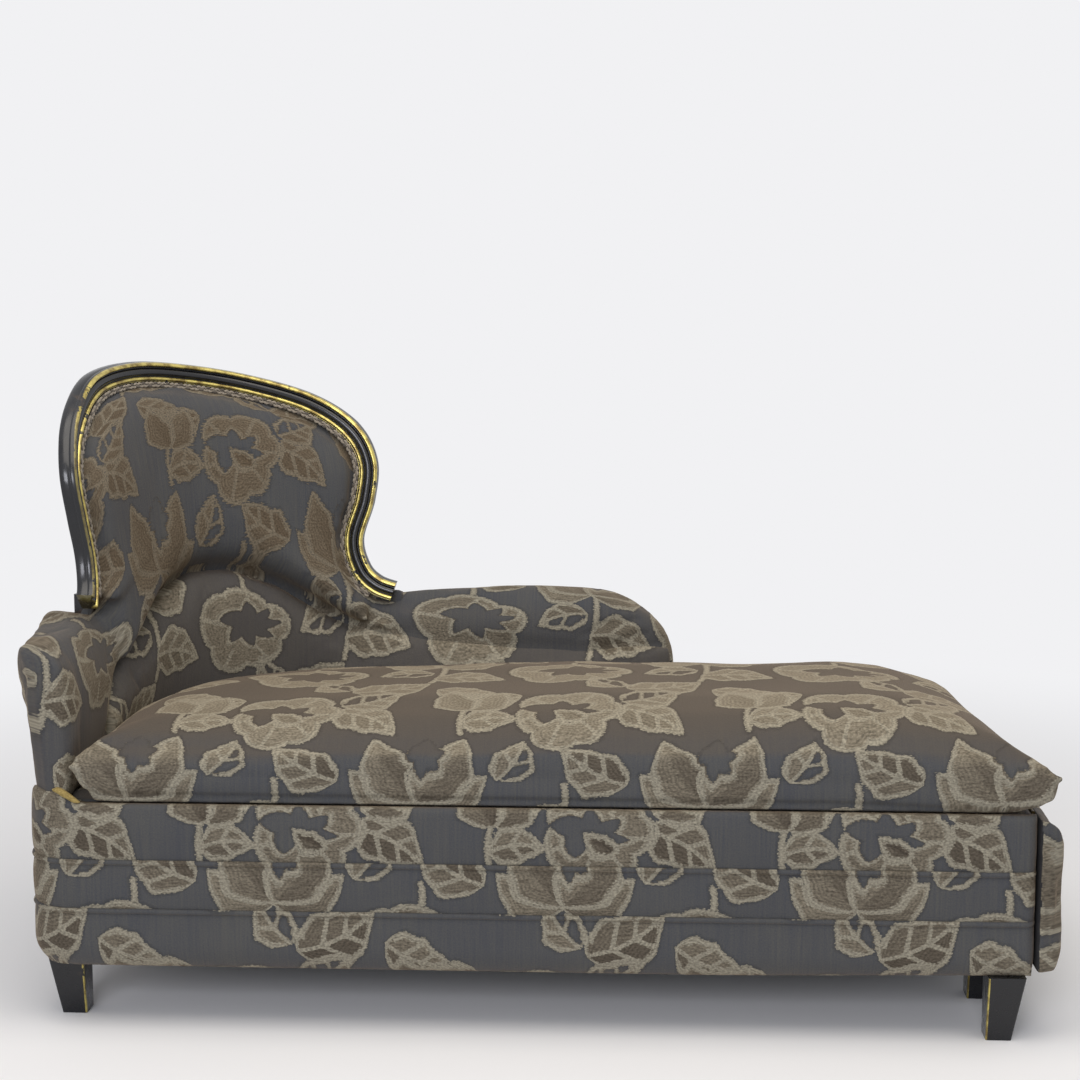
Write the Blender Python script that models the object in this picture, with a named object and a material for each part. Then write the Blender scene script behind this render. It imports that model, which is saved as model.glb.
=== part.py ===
# Daybed with a quarter-round medallion back, a loose mattress and a hinged end flap.
# Metres, +Z up, +X towards the foot end, -Y towards the viewer. Floor at z = 0.
import math

import bmesh
import bpy
from mathutils import Matrix, Vector

# Base, as seen from above
base_length = 1.58
base_depth = 0.725
front_corner_radius = 0.08
back_corner_radius = 0.45
arc_step = math.radians(7.5)
touch_gap = 0.0003

# Legs
leg_height = 0.106
leg_top_width = 0.058
leg_bottom_width = 0.040
foot_leg_inset = 0.010
foot_leg_front_inset = 0.0075
inner_leg_spacing = 0.185
head_leg_inset = 0.033
head_leg_front_inset = 0.055

# Padded border rolls and the piping between them
lower_roll_height = 0.085
middle_roll_height = 0.078
upper_roll_height = 0.091
roll_depth = 0.030
roll_groove_depth = 0.014
roll_lip = 0.008
piping_radius = 0.004

# Wooden base frame
rail_thickness = 0.025
rail_top_drop = 0.025
cleat_depth = 0.020
cleat_height = 0.025
cleat_rise = 0.044
brace_width = 0.050
brace_height = 0.014

# Suspension
strap_width = 0.050
strap_thickness = 0.003
cross_strap_places = (-0.28, 0.16, 0.60)
long_strap_places = (-0.16, 0.12)
spring_turns = 4
spring_points_per_turn = 9
spring_end_radius = 0.042
spring_waist_radius = 0.030
spring_wire_radius = 0.002
spring_cover_thickness = 0.002
dust_cover_thickness = 0.002

# Arms: offsets run outward from the base outline
arm_overhang = 0.032
arm_inner = 0.082
arm_swell = 0.006
arm_foot_overhang = 0.006
arm_flare = 0.005
arm_flare_rise = 0.090
arm_roll_drop = 0.080
arm_top = 0.603
arm_rail_height = 0.025
arm_rail_drop = 0.043
post_width = 0.040
head_arm_start = 0.072
rear_arm_length = 0.590
rear_arm_rounding = 0.105
arm_facing_depth = 0.045
head_facing_drop = 0.020
rear_facing_drop = 0.130
facing_tip_share = 0.35
facing_places = (0.0, 0.35, 0.65, 0.85, 0.96, 1.0)

# Lumbar pad
lumbar_rear = 0.058
lumbar_band_drop = 0.093
lumbar_rise = 0.047
lumbar_half_width = 0.300
lumbar_swell = 0.016
lumbar_rounding = 0.012
lumbar_rounding_drop = 0.030
lumbar_steps = 18

# Outside of the corner between the arms
outer_back_foot = -0.002
outer_back_swell = 0.012
outer_back_swell_drop = 0.125
outer_back_edge = 0.004

# Back: medallion frame on a raked quarter cylinder
back_inset = 0.050
back_half_width = 0.352
back_rise = 0.421
rake = 0.14
frame_front = -0.0864
frame_depth = 0.030
frame_width = 0.034
frame_joint = 0.010
moulding_lip = 0.004
back_post_place = 0.270
lower_back_rail_height = 0.045
back_pad_crown = 0.040
back_pad_depth = 0.025
outside_back_thickness = 0.003
gimp_radius = 0.004
crease_gap = 0.003
pad_clearance = 0.0009
pad_first = 2
foot_clearance = 0.038
foot_end_gap = 0.002
pad_middle_drop = 0.040
pad_arch_steps = 16
back_rings = (0.10, 0.30, 0.60, 1.0)

# Back pad's crown: (size about the middle, share of the crown)
back_pad_shape = ((1.0, 0.40), (0.90, 0.68), (0.74, 0.87), (0.45, 1.0), (0.12, 1.02))

# Mattress
mattress_clearance = 0.0025
mattress_crown = 0.490
mattress_shoulder = 0.463
mattress_seam = 0.410
mattress_border = 0.012
mattress_overhang = 0.010
mattress_corner_pull = 0.022
mattress_foot_radius = 0.140
mattress_side_steps = 12
mattress_end_steps = 6
mattress_bend_steps = 8
mattress_corner_steps = 4

# Hinged flap at the foot end
flap_gap = 0.0055
flap_board_thickness = 0.010
flap_pad_thickness = 0.0162
flap_bottom_rise = 0.008
flap_top_drop = 0.008
flap_side_inset = 0.006
flap_pad_shape = ((0.0, 0.0), (0.0, 0.25), (0.006, 0.62), (0.016, 0.88), (0.035, 0.98), (0.060, 1.0))
hinge_leaf_height = 0.030
hinge_leaf_thickness = 0.0012
hinge_knuckle_radius = 0.0026
hinge_pin_radius = 0.0013
hinge_knuckles = 5
hinge_end_inset = 0.060
hinge_axis_drop = 0.008
hinge_bore_margin = 0.010

# Places worked out from the sizes above
base_left = -base_length / 2
base_right = base_length / 2
base_front = -(base_depth + arm_overhang) / 2
base_rear = base_front + base_depth
roll_bottom = leg_height
lower_seam = roll_bottom + lower_roll_height
upper_seam = lower_seam + middle_roll_height
base_top = upper_seam + upper_roll_height
rail_outer = -(roll_depth + touch_gap)
rail_inner = rail_outer - rail_thickness
rail_top = base_top - rail_top_drop
cleat_top = roll_bottom + cleat_rise
deck_bottom = rail_top + spring_cover_thickness + 2 * touch_gap
deck_top = base_top - touch_gap
pad_bottom = base_top + touch_gap
channel_outer = rail_outer + touch_gap
channel_inner = rail_inner - touch_gap
arm_rail_top = arm_top - arm_rail_drop
channel_top = arm_rail_top + touch_gap
lumbar_band_top = arm_top - lumbar_band_drop
lumbar_crest = arm_top + lumbar_rise
lower_back_rail_bottom = arm_top + touch_gap

front_run = base_length - front_corner_radius
head_start = front_run + front_corner_radius * math.pi / 2
head_run = base_depth - front_corner_radius - back_corner_radius
corner_start = head_start + head_run
corner_end = corner_start + back_corner_radius * math.pi / 2
corner_middle = (corner_start + corner_end) / 2
outline_end = corner_end + base_length - back_corner_radius
back_radius = back_corner_radius - back_inset
back_half_arc = back_radius * math.pi / 4

# Medallion outline, left foot to right foot: (share of the half width, share of the rise above the arms)
medallion_shape = (
    (-1.207, 0.069), (-1.094, 0.093), (-1.000, 0.154), (-0.960, 0.266), (-0.980, 0.409),
    (-0.989, 0.575), (-0.906, 0.717), (-0.744, 0.853), (-0.540, 0.960), (-0.256, 1.000),
    (0.057, 0.981), (0.386, 0.926), (0.693, 0.838), (0.903, 0.713), (1.000, 0.558),
    (0.989, 0.385), (0.932, 0.219), (0.966, 0.107), (1.028, 0.055), (1.108, 0.031),
)
medallion = [(along * back_half_width, arm_top + rise * back_rise) for along, rise in medallion_shape]
medallion_crest = max(height for along, height in medallion)
left_joint = 6.5
right_joint = 12.5
frame_steps = 2

# Moulding: (distance in from the outer edge, depth behind the front face)
moulding = (
    (0.000, 0.008), (0.002, 0.002), (0.006, 0.000), (0.0095, 0.002), (0.0105, 0.006),
    (0.016, 0.0035), (0.0225, 0.004), (0.0265, 0.007), (0.028, 0.003), (0.031, 0.001),
    (frame_width, moulding_lip), (frame_width, frame_depth), (0.000, frame_depth),
)

for item in list(bpy.data.objects):
    bpy.data.objects.remove(item, do_unlink=True)

parts = bpy.data.collections.new("daybed")
bpy.context.scene.collection.children.link(parts)
cutters = bpy.data.collections.new("cutters")
bpy.context.scene.collection.children.link(cutters)


# Materials
def make_material(name, colour, roughness, metallic=0.0):
    material = bpy.data.materials.new(name)
    material.use_nodes = True
    shader = material.node_tree.nodes["Principled BSDF"]
    shader.inputs["Base Color"].default_value = (*colour, 1.0)
    shader.inputs["Roughness"].default_value = roughness
    shader.inputs["Metallic"].default_value = metallic
    return material


fabric = make_material("floral_jacquard", (0.085, 0.082, 0.085), 0.9)
ebonised = make_material("ebonised_wood", (0.012, 0.014, 0.018), 0.3)
beech = make_material("beech", (0.42, 0.27, 0.15), 0.6)
jute = make_material("jute_webbing", (0.35, 0.25, 0.13), 0.95)
hessian = make_material("hessian", (0.40, 0.30, 0.18), 0.95)
spring_steel = make_material("spring_steel", (0.35, 0.36, 0.38), 0.35, 1.0)
hinge_brass = make_material("hinge_brass", (0.60, 0.42, 0.16), 0.35, 1.0)
braid = make_material("gimp_braid", (0.24, 0.19, 0.13), 0.9)
black_cloth = make_material("black_cloth", (0.02, 0.02, 0.022), 0.95)


# Shared shape helpers
def add_object(name, data, material, collection=parts):
    thing = bpy.data.objects.new(name, data)
    data.materials.append(material)
    collection.objects.link(thing)
    return thing


def mesh_object(name, bm, material, collection=parts):
    bm.normal_update()
    bmesh.ops.recalc_face_normals(bm, faces=bm.faces)
    mesh = bpy.data.meshes.new(name)
    bm.to_mesh(mesh)
    bm.free()
    return add_object(name, mesh, material, collection)


def box(name, low, high, material, collection=parts):
    bm = bmesh.new()
    bmesh.ops.create_cube(bm, size=1.0)
    size = Vector(high) - Vector(low)
    middle = (Vector(high) + Vector(low)) / 2
    for vert in bm.verts:
        vert.co = Vector((vert.co.x * size.x, vert.co.y * size.y, vert.co.z * size.z)) + middle
    return mesh_object(name, bm, material, collection)


def loft(name, rings, material):
    # Bridges rings of equal length and closes both ends
    bm = bmesh.new()
    loops = [[bm.verts.new(point) for point in ring] for ring in rings]
    count = len(loops[0])
    for near, far in zip(loops, loops[1:]):
        for i in range(count):
            j = (i + 1) % count
            bm.faces.new((near[i], near[j], far[j], far[i]))
    bm.faces.new(loops[0])
    bm.faces.new(loops[-1])
    return mesh_object(name, bm, material)


def tube(name, points, radius, material, sides=1):
    curve = bpy.data.curves.new(name, "CURVE")
    curve.dimensions = "3D"
    curve.bevel_depth = radius
    curve.bevel_resolution = sides
    curve.use_fill_caps = True
    spline = curve.splines.new("POLY")
    spline.points.add(len(points) - 1)
    for target, point in zip(spline.points, points):
        target.co = (*point, 1.0)
    return add_object(name, curve, material)


def slab(name, outline, bottom, top, material):
    rings = [[(x, y, height) for x, y in outline] for height in (bottom, top)]
    return loft(name, rings, material)


def hang(name, place, things):
    # An empty on the joint's axis carries the pieces that move with it
    pivot = bpy.data.objects.new(name, None)
    parts.objects.link(pivot)
    pivot.location = place
    for thing in things:
        thing.parent = pivot
        thing.matrix_parent_inverse = Matrix.Translation(place).inverted()


# The base outline, walked from the foot's front corner round the head to the foot's rear corner
def arc_steps(radius, first, last):
    return max(3, round((last - first) / radius / arc_step))


def facet_direction(part, steps):
    # A quarter turn from (1, 0) to (0, 1) along the chords that every wrapped piece shares
    place = part * steps
    index = min(int(place), steps - 1)
    near = math.pi / 2 * index / steps
    far = math.pi / 2 * (index + 1) / steps
    share = place - index
    return Vector((math.cos(near), math.sin(near))).lerp(Vector((math.cos(far), math.sin(far))), share)


def plan(run, offset):
    if run <= front_run:
        return Vector((base_right - run, base_front - offset))
    if run <= head_start:
        steps = arc_steps(front_corner_radius, front_run, head_start)
        turn = facet_direction((run - front_run) / (head_start - front_run), steps)
        middle = Vector((base_left + front_corner_radius, base_front + front_corner_radius))
        return middle + (front_corner_radius + offset) * Vector((-turn.y, -turn.x))
    if run <= corner_start:
        return Vector((base_left - offset, base_front + front_corner_radius + run - head_start))
    if run <= corner_end:
        steps = arc_steps(back_corner_radius, corner_start, corner_end)
        turn = facet_direction((run - corner_start) / (corner_end - corner_start), steps)
        middle = Vector((base_left + back_corner_radius, base_rear - back_corner_radius))
        return middle + (back_corner_radius + offset) * Vector((-turn.x, turn.y))
    return Vector((base_left + back_corner_radius + run - corner_end, base_rear + offset))


def runs(start, stop, extra=()):
    # Every stop on the outline between two runs: ends, tangent points and arc steps
    marks = [start, stop, *extra]
    for first, last, radius in (
        (front_run, head_start, front_corner_radius),
        (corner_start, corner_end, back_corner_radius),
    ):
        steps = arc_steps(radius, first, last)
        marks += [first + (last - first) * i / steps for i in range(steps + 1)]
    return sorted({round(mark, 6) for mark in marks if start <= mark <= stop})


def back_run(along):
    # Distance along the back, measured at the back's own radius, to a run on the outline
    if abs(along) <= back_half_arc:
        return corner_middle + along * back_corner_radius / back_radius
    if along > 0:
        return corner_end + along - back_half_arc
    return corner_start + along + back_half_arc


def back_along(run):
    # The other way round: a run on the outline to a distance along the back
    if run > corner_end:
        return back_half_arc + run - corner_end
    if run < corner_start:
        return run - corner_start - back_half_arc
    return (run - corner_middle) * back_radius / back_corner_radius


def wrap(start, stop, section):
    # Rings of an upright section carried along the outline
    rings = []
    for run in runs(start, stop):
        rings.append([(*plan(run, offset), height) for offset, height in section])
    return rings


def rectangle(inner, outer, bottom, top):
    return ((inner, bottom), (outer, bottom), (outer, top), (inner, top))


# Base frame
def build_base_frame():
    section = rectangle(rail_inner, rail_outer, roll_bottom, rail_top)
    joint = touch_gap / 2
    front_y = (base_front - rail_outer, base_front - rail_inner)
    rear_y = (base_rear + rail_inner, base_rear + rail_outer)
    head_x = (base_left - rail_outer, base_left - rail_inner)
    block_end = base_left + front_corner_radius
    bend_end = base_left + back_corner_radius
    box("front_rail", (block_end + joint, front_y[0], roll_bottom), (base_right, front_y[1], rail_top), beech)
    box("rear_rail", (bend_end + joint, rear_y[0], roll_bottom), (base_right, rear_y[1], rail_top), beech)
    box(
        "head_rail",
        (head_x[0], base_front + front_corner_radius + joint, roll_bottom),
        (head_x[1], base_rear - back_corner_radius - joint, rail_top),
        beech,
    )
    box(
        "foot_rail",
        (base_right - rail_thickness, front_y[1] + touch_gap, roll_bottom),
        (base_right, rear_y[0] - touch_gap, rail_top),
        beech,
    )
    loft("front_corner_block", wrap(front_run + joint, head_start - joint, section), beech)
    loft("corner_rail", wrap(corner_start + joint, corner_end - joint, section), beech)
    cleat_z = (cleat_top - cleat_height, cleat_top)
    foot_stop = base_right - rail_thickness - touch_gap
    box(
        "front_cleat",
        (block_end, front_y[1] + touch_gap, cleat_z[0]),
        (foot_stop, front_y[1] + touch_gap + cleat_depth, cleat_z[1]),
        beech,
    )
    box(
        "rear_cleat",
        (bend_end, rear_y[0] - touch_gap - cleat_depth, cleat_z[0]),
        (foot_stop, rear_y[0] - touch_gap, cleat_z[1]),
        beech,
    )
    brace_top = cleat_z[0] - touch_gap
    box(
        "centre_brace",
        (-brace_width / 2, front_y[1] + touch_gap, brace_top - brace_height),
        (brace_width / 2, rear_y[0] - touch_gap, brace_top),
        beech,
    )


# Tapered square legs: the inner faces stay upright, the outer faces slope in
def leg(name, outer_x, outer_y, side_x, side_y):
    bm = bmesh.new()
    bmesh.ops.create_cube(bm, size=1.0)
    taper = leg_top_width - leg_bottom_width
    middle_x = outer_x - side_x * leg_top_width / 2
    middle_y = outer_y - side_y * leg_top_width / 2
    for vert in bm.verts:
        x = vert.co.x * leg_top_width
        y = vert.co.y * leg_top_width
        low = vert.co.z < 0
        if low and x * side_x > 0:
            x -= side_x * taper
        if low and y * side_y > 0:
            y -= side_y * taper
        height = 0.0 if low else leg_height - touch_gap
        vert.co = (middle_x + x, middle_y + y, height)
    return mesh_object(name, bm, ebonised)


def build_legs():
    foot_x = base_right - foot_leg_inset
    front_y = base_front + foot_leg_front_inset
    rear_y = base_rear - foot_leg_front_inset
    leg("leg_front_foot", foot_x, front_y, 1, -1)
    leg("leg_rear_foot", foot_x, rear_y, 1, 1)
    leg("leg_inner_front", foot_x, front_y + inner_leg_spacing, 1, -1)
    leg("leg_inner_rear", foot_x, rear_y - inner_leg_spacing, 1, 1)
    leg("leg_front_head", base_left + head_leg_inset, base_front + head_leg_front_inset, -1, -1)
    seat = plan(corner_middle, (rail_outer + rail_inner) / 2)
    leg("leg_rear_head", seat.x - leg_top_width / 2, seat.y + leg_top_width / 2, -1, 1)


# Border rolls: a swelling face over a flat back, with a groove for the piping at each seam
def roll_section(bottom, top):
    low = bottom + touch_gap / 2
    high = top - touch_gap / 2
    groove = roll_groove_depth - roll_lip
    rise = high - low
    return (
        (-roll_depth, low), (-roll_groove_depth, low), (-groove, low + roll_lip),
        (-groove * 0.3, low + rise * 0.25), (0.0, low + rise * 0.5), (-groove * 0.3, low + rise * 0.75),
        (-groove, high - roll_lip), (-roll_groove_depth, high), (-roll_depth, high),
    )


def build_border():
    levels = (roll_bottom, lower_seam, upper_seam, base_top)
    names = ("lower_border_roll", "middle_border_roll", "upper_border_roll")
    for name, bottom, top in zip(names, levels, levels[1:]):
        loft(name, wrap(0.0, outline_end, roll_section(bottom, top)), fabric)
    seat = -roll_groove_depth + (piping_radius + touch_gap) * math.sqrt(2)
    for name, level in (("lower_piping", lower_seam), ("upper_piping", upper_seam)):
        points = [(*plan(run, seat), level) for run in runs(0.0, outline_end)]
        tube(name, points, piping_radius, fabric)


# Webbing, coil springs, spring cover, deck and dust cover
def build_suspension():
    front_y = base_front - rail_inner + touch_gap
    rear_y = base_rear + rail_inner - touch_gap
    cross_low = cleat_top + touch_gap
    cross_high = cross_low + strap_thickness
    long_low = cross_high + touch_gap
    long_high = long_low + strap_thickness
    half = strap_width / 2
    for number, x in enumerate(cross_strap_places, 1):
        box(f"cross_webbing_{number}", (x - half, front_y, cross_low), (x + half, rear_y, cross_high), jute)
    foot_stop = base_right - rail_thickness - touch_gap
    for number, y in enumerate(long_strap_places, 1):
        low = (head_stop(y + half), y - half, long_low)
        box(f"long_webbing_{number}", low, (foot_stop, y + half, long_high), jute)
    places = [(x, y) for x in cross_strap_places for y in long_strap_places]
    cover_bottom = rail_top + touch_gap
    for number, (x, y) in enumerate(places, 1):
        spring(f"spring_{number}", x, y, long_high + touch_gap, cover_bottom - touch_gap)
    soft = deck_outline(-roll_depth - 2 * touch_gap)
    slab("spring_cover", soft, cover_bottom, cover_bottom + spring_cover_thickness, hessian)
    slab("deck_pad", soft, deck_bottom, deck_top, fabric)
    under = [plan(run, rail_inner - touch_gap) for run in runs(front_run, outline_end - rail_thickness)]
    under.insert(0, plan(rail_thickness + touch_gap, rail_inner - touch_gap))
    under[-1] = plan(outline_end - rail_thickness - touch_gap, rail_inner - touch_gap)
    slab("dust_cover", under, roll_bottom + touch_gap, roll_bottom + dust_cover_thickness, black_cloth)


def head_stop(y):
    # Where a lengthwise strap meets the head rail or the bent corner rail
    bend_y = base_rear - back_corner_radius
    if y <= bend_y:
        return base_left - rail_inner + touch_gap
    facet = math.cos(arc_step / 2)
    reach = (back_corner_radius + rail_inner) * facet - touch_gap
    return base_left + back_corner_radius - math.sqrt(reach ** 2 - (y - bend_y) ** 2)


def deck_outline(front_offset):
    # Reaches the roll along the front and the corner, and stops at the posts beside the arms
    points = [plan(0.0, front_offset)]
    points += [plan(run, front_offset) for run in runs(front_run, head_start)]
    points += [plan(run, channel_inner - touch_gap) for run in runs(head_start + touch_gap, outline_end)]
    return points


def spring(name, x, y, bottom, top):
    low = bottom + spring_wire_radius
    high = top - spring_wire_radius
    count = spring_turns * spring_points_per_turn
    points = []
    for i in range(count + 1):
        part = i / count
        angle = part * spring_turns * 2 * math.pi
        pinch = math.sin(math.pi * part)
        radius = spring_end_radius + (spring_waist_radius - spring_end_radius) * pinch
        points.append((x + radius * math.cos(angle), y + radius * math.sin(angle), low + (high - low) * part))
    turn_gap = min(
        (Vector(a) - Vector(b)).length for a, b in zip(points, points[spring_points_per_turn:])
    )
    print(name, "least gap between turns", round(turn_gap - 2 * spring_wire_radius, 4))
    tube(name, points, spring_wire_radius, spring_steel)


# Arm and back posts with their rails
def post(name, along, top):
    width = post_width / 2
    section = rectangle(rail_inner, rail_outer, rail_top + touch_gap, top)
    loft(name, wrap(back_run(along - width), back_run(along + width), section), beech)


def head_arm_limit():
    return back_along(head_start + head_arm_start)


def build_posts():
    top = arm_rail_top
    front_post = head_arm_limit() + post_width / 2
    rear_post = rear_arm_end() - rear_arm_rounding - post_width / 2
    back_top = lower_back_rail_bottom - touch_gap
    post("head_arm_post", front_post, top)
    post("left_back_post", -back_post_place, back_top)
    post("right_back_post", back_post_place, back_top)
    post("rear_arm_post", rear_post, top)
    rail = rectangle(rail_inner, rail_outer, arm_rail_top - arm_rail_height, arm_rail_top)
    clear = post_width / 2 + touch_gap
    head = (back_run(front_post + clear), back_run(-back_post_place - clear))
    loft("head_arm_rail", wrap(*head, rail), beech)
    rear = (back_run(back_post_place + clear), back_run(rear_post - clear))
    loft("rear_arm_rail", wrap(*rear, rail), beech)
    low = lower_back_rail_bottom
    high = low + lower_back_rail_height
    lean = (
        (frame_offset(low) + frame_depth + touch_gap, low), (rail_outer, low),
        (rail_outer, high), (frame_offset(high) + frame_depth + touch_gap, high),
    )
    reach = back_post_place + post_width
    loft("lower_back_rail", wrap(back_run(-reach), back_run(reach), lean), beech)


# Arm pads
def rear_arm_end():
    return back_half_arc + rear_arm_length


def rear_arm_start():
    return medallion[-1][0] + foot_end_gap


def arm_outer(top):
    # The outside of an arm, from the base up over the roll to the inside
    roll = arm_roll_drop
    return (
        (arm_foot_overhang, pad_bottom), (arm_foot_overhang + arm_flare, pad_bottom + arm_flare_rise),
        (arm_overhang * 0.85, top - roll), (arm_overhang, top - roll * 0.62),
        (arm_overhang * 0.75, top - roll * 0.25), (arm_overhang * 0.06, top - roll * 0.04),
        (-arm_inner * 0.34, top), (-arm_inner * 0.68, top - roll * 0.06),
        (-arm_inner * 0.95, top - roll * 0.32), (-arm_inner - arm_swell, top - roll * 0.75),
    )


def arm_section(inner_bottom):
    return (
        (channel_outer, pad_bottom), *arm_outer(arm_top), (-arm_inner, inner_bottom),
        (channel_inner, inner_bottom), (channel_inner, channel_top), (channel_outer, channel_top),
    )


def facing_rings(start, stop, drop):
    # Rounded arm end: the section narrows and, by drop, sinks towards the end
    rings = []
    middle = (channel_outer + channel_inner) / 2
    for part in facing_places:
        fullness = math.sqrt(1.0 - part * part)
        shrink = max(facing_tip_share, fullness)
        top = arm_top - drop * (1.0 - fullness)
        along = start + (stop - start) * part
        section = [*arm_outer(top), (-arm_inner, pad_bottom)]
        ring = []
        for offset, height in section:
            ring.append((*plan(back_run(along), middle + (offset - middle) * shrink), height))
        rings.append(ring)
    return rings


def build_arm_pads():
    left_end = -lumbar_half_width - touch_gap
    front = head_arm_limit()
    head = wrap(back_run(front), back_run(left_end), arm_section(pad_bottom))
    loft("head_arm_pad", head, fabric)
    facing = facing_rings(front - touch_gap, front - arm_facing_depth, head_facing_drop)
    loft("head_arm_facing", facing, fabric)
    end = rear_arm_end() - rear_arm_rounding
    rear = wrap(back_run(rear_arm_start()), back_run(end), arm_section(lumbar_band_top + crease_gap))
    loft("rear_arm_pad", rear, fabric)
    loft("rear_arm_facing", facing_rings(end + touch_gap, rear_arm_end(), rear_facing_drop), fabric)


# Lumbar pad: an arch under the medallion that runs on as the lower band of the rear arm
def lumbar_top(along):
    if along >= rear_arm_start():
        return lumbar_band_top
    shoulder = rear_arm_start() if along > 0 else lumbar_half_width
    rise = max(0.0, math.cos(along / shoulder * math.pi / 2)) ** 1.4
    return lumbar_band_top + (lumbar_crest - lumbar_band_top) * rise


def lumbar_section(top):
    height = top - pad_bottom
    front = -arm_inner - lumbar_swell
    return (
        (-lumbar_rear, pad_bottom), (-lumbar_rear, top), (-lumbar_rear - lumbar_rounding, top),
        (front + lumbar_rounding, top - lumbar_rounding_drop / 3),
        (front + lumbar_rounding / 6, top - lumbar_rounding_drop), (front, pad_bottom + height * 0.60),
        (-arm_inner, pad_bottom + height * 0.28), (-arm_inner, pad_bottom),
    )


def build_lumbar_pad():
    stop = rear_arm_end() - rear_arm_rounding
    width = rear_arm_start() + lumbar_half_width
    arch = [-lumbar_half_width + width * i / lumbar_steps for i in range(lumbar_steps + 1)]
    rings = []
    for along in arch + [stop]:
        section = lumbar_section(lumbar_top(along))
        rings.append([(*plan(back_run(along), offset), height) for offset, height in section])
    loft("lumbar_pad", rings, fabric)


def build_outer_back():
    # Closes the outside of the corner between the two arms, hidden behind the frame's waist
    high = lower_back_rail_bottom + lower_back_rail_height
    outer = channel_outer + touch_gap
    waist = back_post_place + post_width / 2
    marks = [back_run(along) for along in (-waist, waist, waist + frame_width)]
    rings = []
    for run in runs(back_run(-lumbar_half_width), back_run(rear_arm_start() - touch_gap), marks):
        along = round(back_along(run), 5)
        top = high if abs(along) <= waist else arm_top - touch_gap
        swell = outer_back_swell
        drop = outer_back_swell_drop
        section = (
            (outer, pad_bottom), (outer_back_foot, pad_bottom), (swell / 2, pad_bottom + arm_flare_rise),
            (swell, top - drop), (0.0, top - drop * 0.52), (-swell, top - drop * 0.24),
            (outer + outer_back_edge, top), (outer, top),
        )
        rings.append([(*plan(run, offset), height) for offset, height in section])
    loft("outer_back_pad", rings, fabric)


# Medallion frame
def frame_offset(height):
    return frame_front + rake * (height - arm_top)


def on_back(along, height, depth):
    return (*plan(back_run(along), frame_offset(height) + depth), height)


def smooth(points, place):
    # Catmull-Rom curve through the points; place counts points from the first
    last = len(points) - 1
    index = min(int(place), last - 1)
    part = place - index
    a, b, c, d = (Vector(points[min(max(index + k, 0), last)]) for k in (-1, 0, 1, 2))
    return 0.5 * (
        2 * b + (c - a) * part + (2 * a - 5 * b + 4 * c - d) * part ** 2 + (3 * b - a - 3 * c + d) * part ** 3
    )


def inward(place):
    step = 0.05
    last = len(medallion) - 1
    ahead = smooth(medallion, min(place + step, last))
    behind = smooth(medallion, max(place - step, 0.0))
    run = (ahead - behind).normalized()
    return Vector((run.y, -run.x))


def frame_ring(place):
    edge = smooth(medallion, place)
    normal = inward(place)
    ring = []
    for across, depth in moulding:
        along, height = edge + normal * across
        ring.append(on_back(along, height, depth))
    return ring


def frame_piece(name, start, stop):
    places = [start, stop]
    places += [i / frame_steps for i in range(math.ceil(start * frame_steps), int(stop * frame_steps) + 1)]
    places = sorted({round(place, 4) for place in places})
    loft(name, [frame_ring(place) for place in places], ebonised)


def build_medallion():
    frame_piece("left_stile", 0.0, left_joint)
    frame_piece("crest_rail", left_joint + frame_joint, right_joint)
    frame_piece("right_stile", right_joint + frame_joint, len(medallion) - 1)


# Back pad: a crowned cushion that fills the frame down to the lumbar arch
def inner_edge(inset):
    edge = []
    for i in range(pad_first * frame_steps, (len(medallion) - pad_first) * frame_steps + 1):
        place = i / frame_steps
        edge.append(smooth(medallion, place) + inward(place) * (frame_width + inset))
    return edge


def back_pad_boundary(inset):
    edge = inner_edge(inset)
    left = -lumbar_half_width + inset
    right = rear_arm_start() - touch_gap - inset
    below = edge[-1].y - foot_clearance
    under_foot = [Vector((edge[-1].x, below)), Vector((right, below))]
    arch = []
    for i in range(pad_arch_steps + 1):
        along = right + (left - right) * i / pad_arch_steps
        arch.append(Vector((along, lumbar_top(along) + crease_gap + inset)))
    corner = Vector((left, edge[0].y))
    return edge + under_foot + arch + [corner]


def back_pad_rings(levels):
    # A level is (inset from the frame, scale about the middle, depth)
    middle = Vector((0.0, (lumbar_crest + medallion_crest) / 2 - pad_middle_drop))
    rings = []
    for inset, scale, depth in levels:
        ring = []
        for point in back_pad_boundary(pad_clearance + inset):
            along, height = middle + (point - middle) * scale
            ring.append(on_back(along, height, depth))
        rings.append(ring)
    return rings


def build_back_pad():
    groove = 3 * gimp_radius
    under_gimp = moulding_lip + gimp_radius + touch_gap
    rear = [(0.0, scale, back_pad_depth) for scale in back_rings]
    front = [(0.0, 1.0, under_gimp), (groove, 1.0, under_gimp)]
    for scale, share in back_pad_shape:
        front.append((groove * 1.5, scale, -back_pad_crown * share))
    loft("back_pad", back_pad_rings(rear + front), fabric)
    centre = gimp_radius + touch_gap
    points = [on_back(edge.x, edge.y, moulding_lip) for edge in inner_edge(centre)]
    tube("gimp_braid", points, gimp_radius, braid)


def edge_height(edge, along):
    for near, far in zip(edge, edge[1:]):
        if near.x <= along <= far.x:
            return near.y + (far.y - near.y) * (along - near.x) / (far.x - near.x)
    return max(point.y for point in edge)


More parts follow.
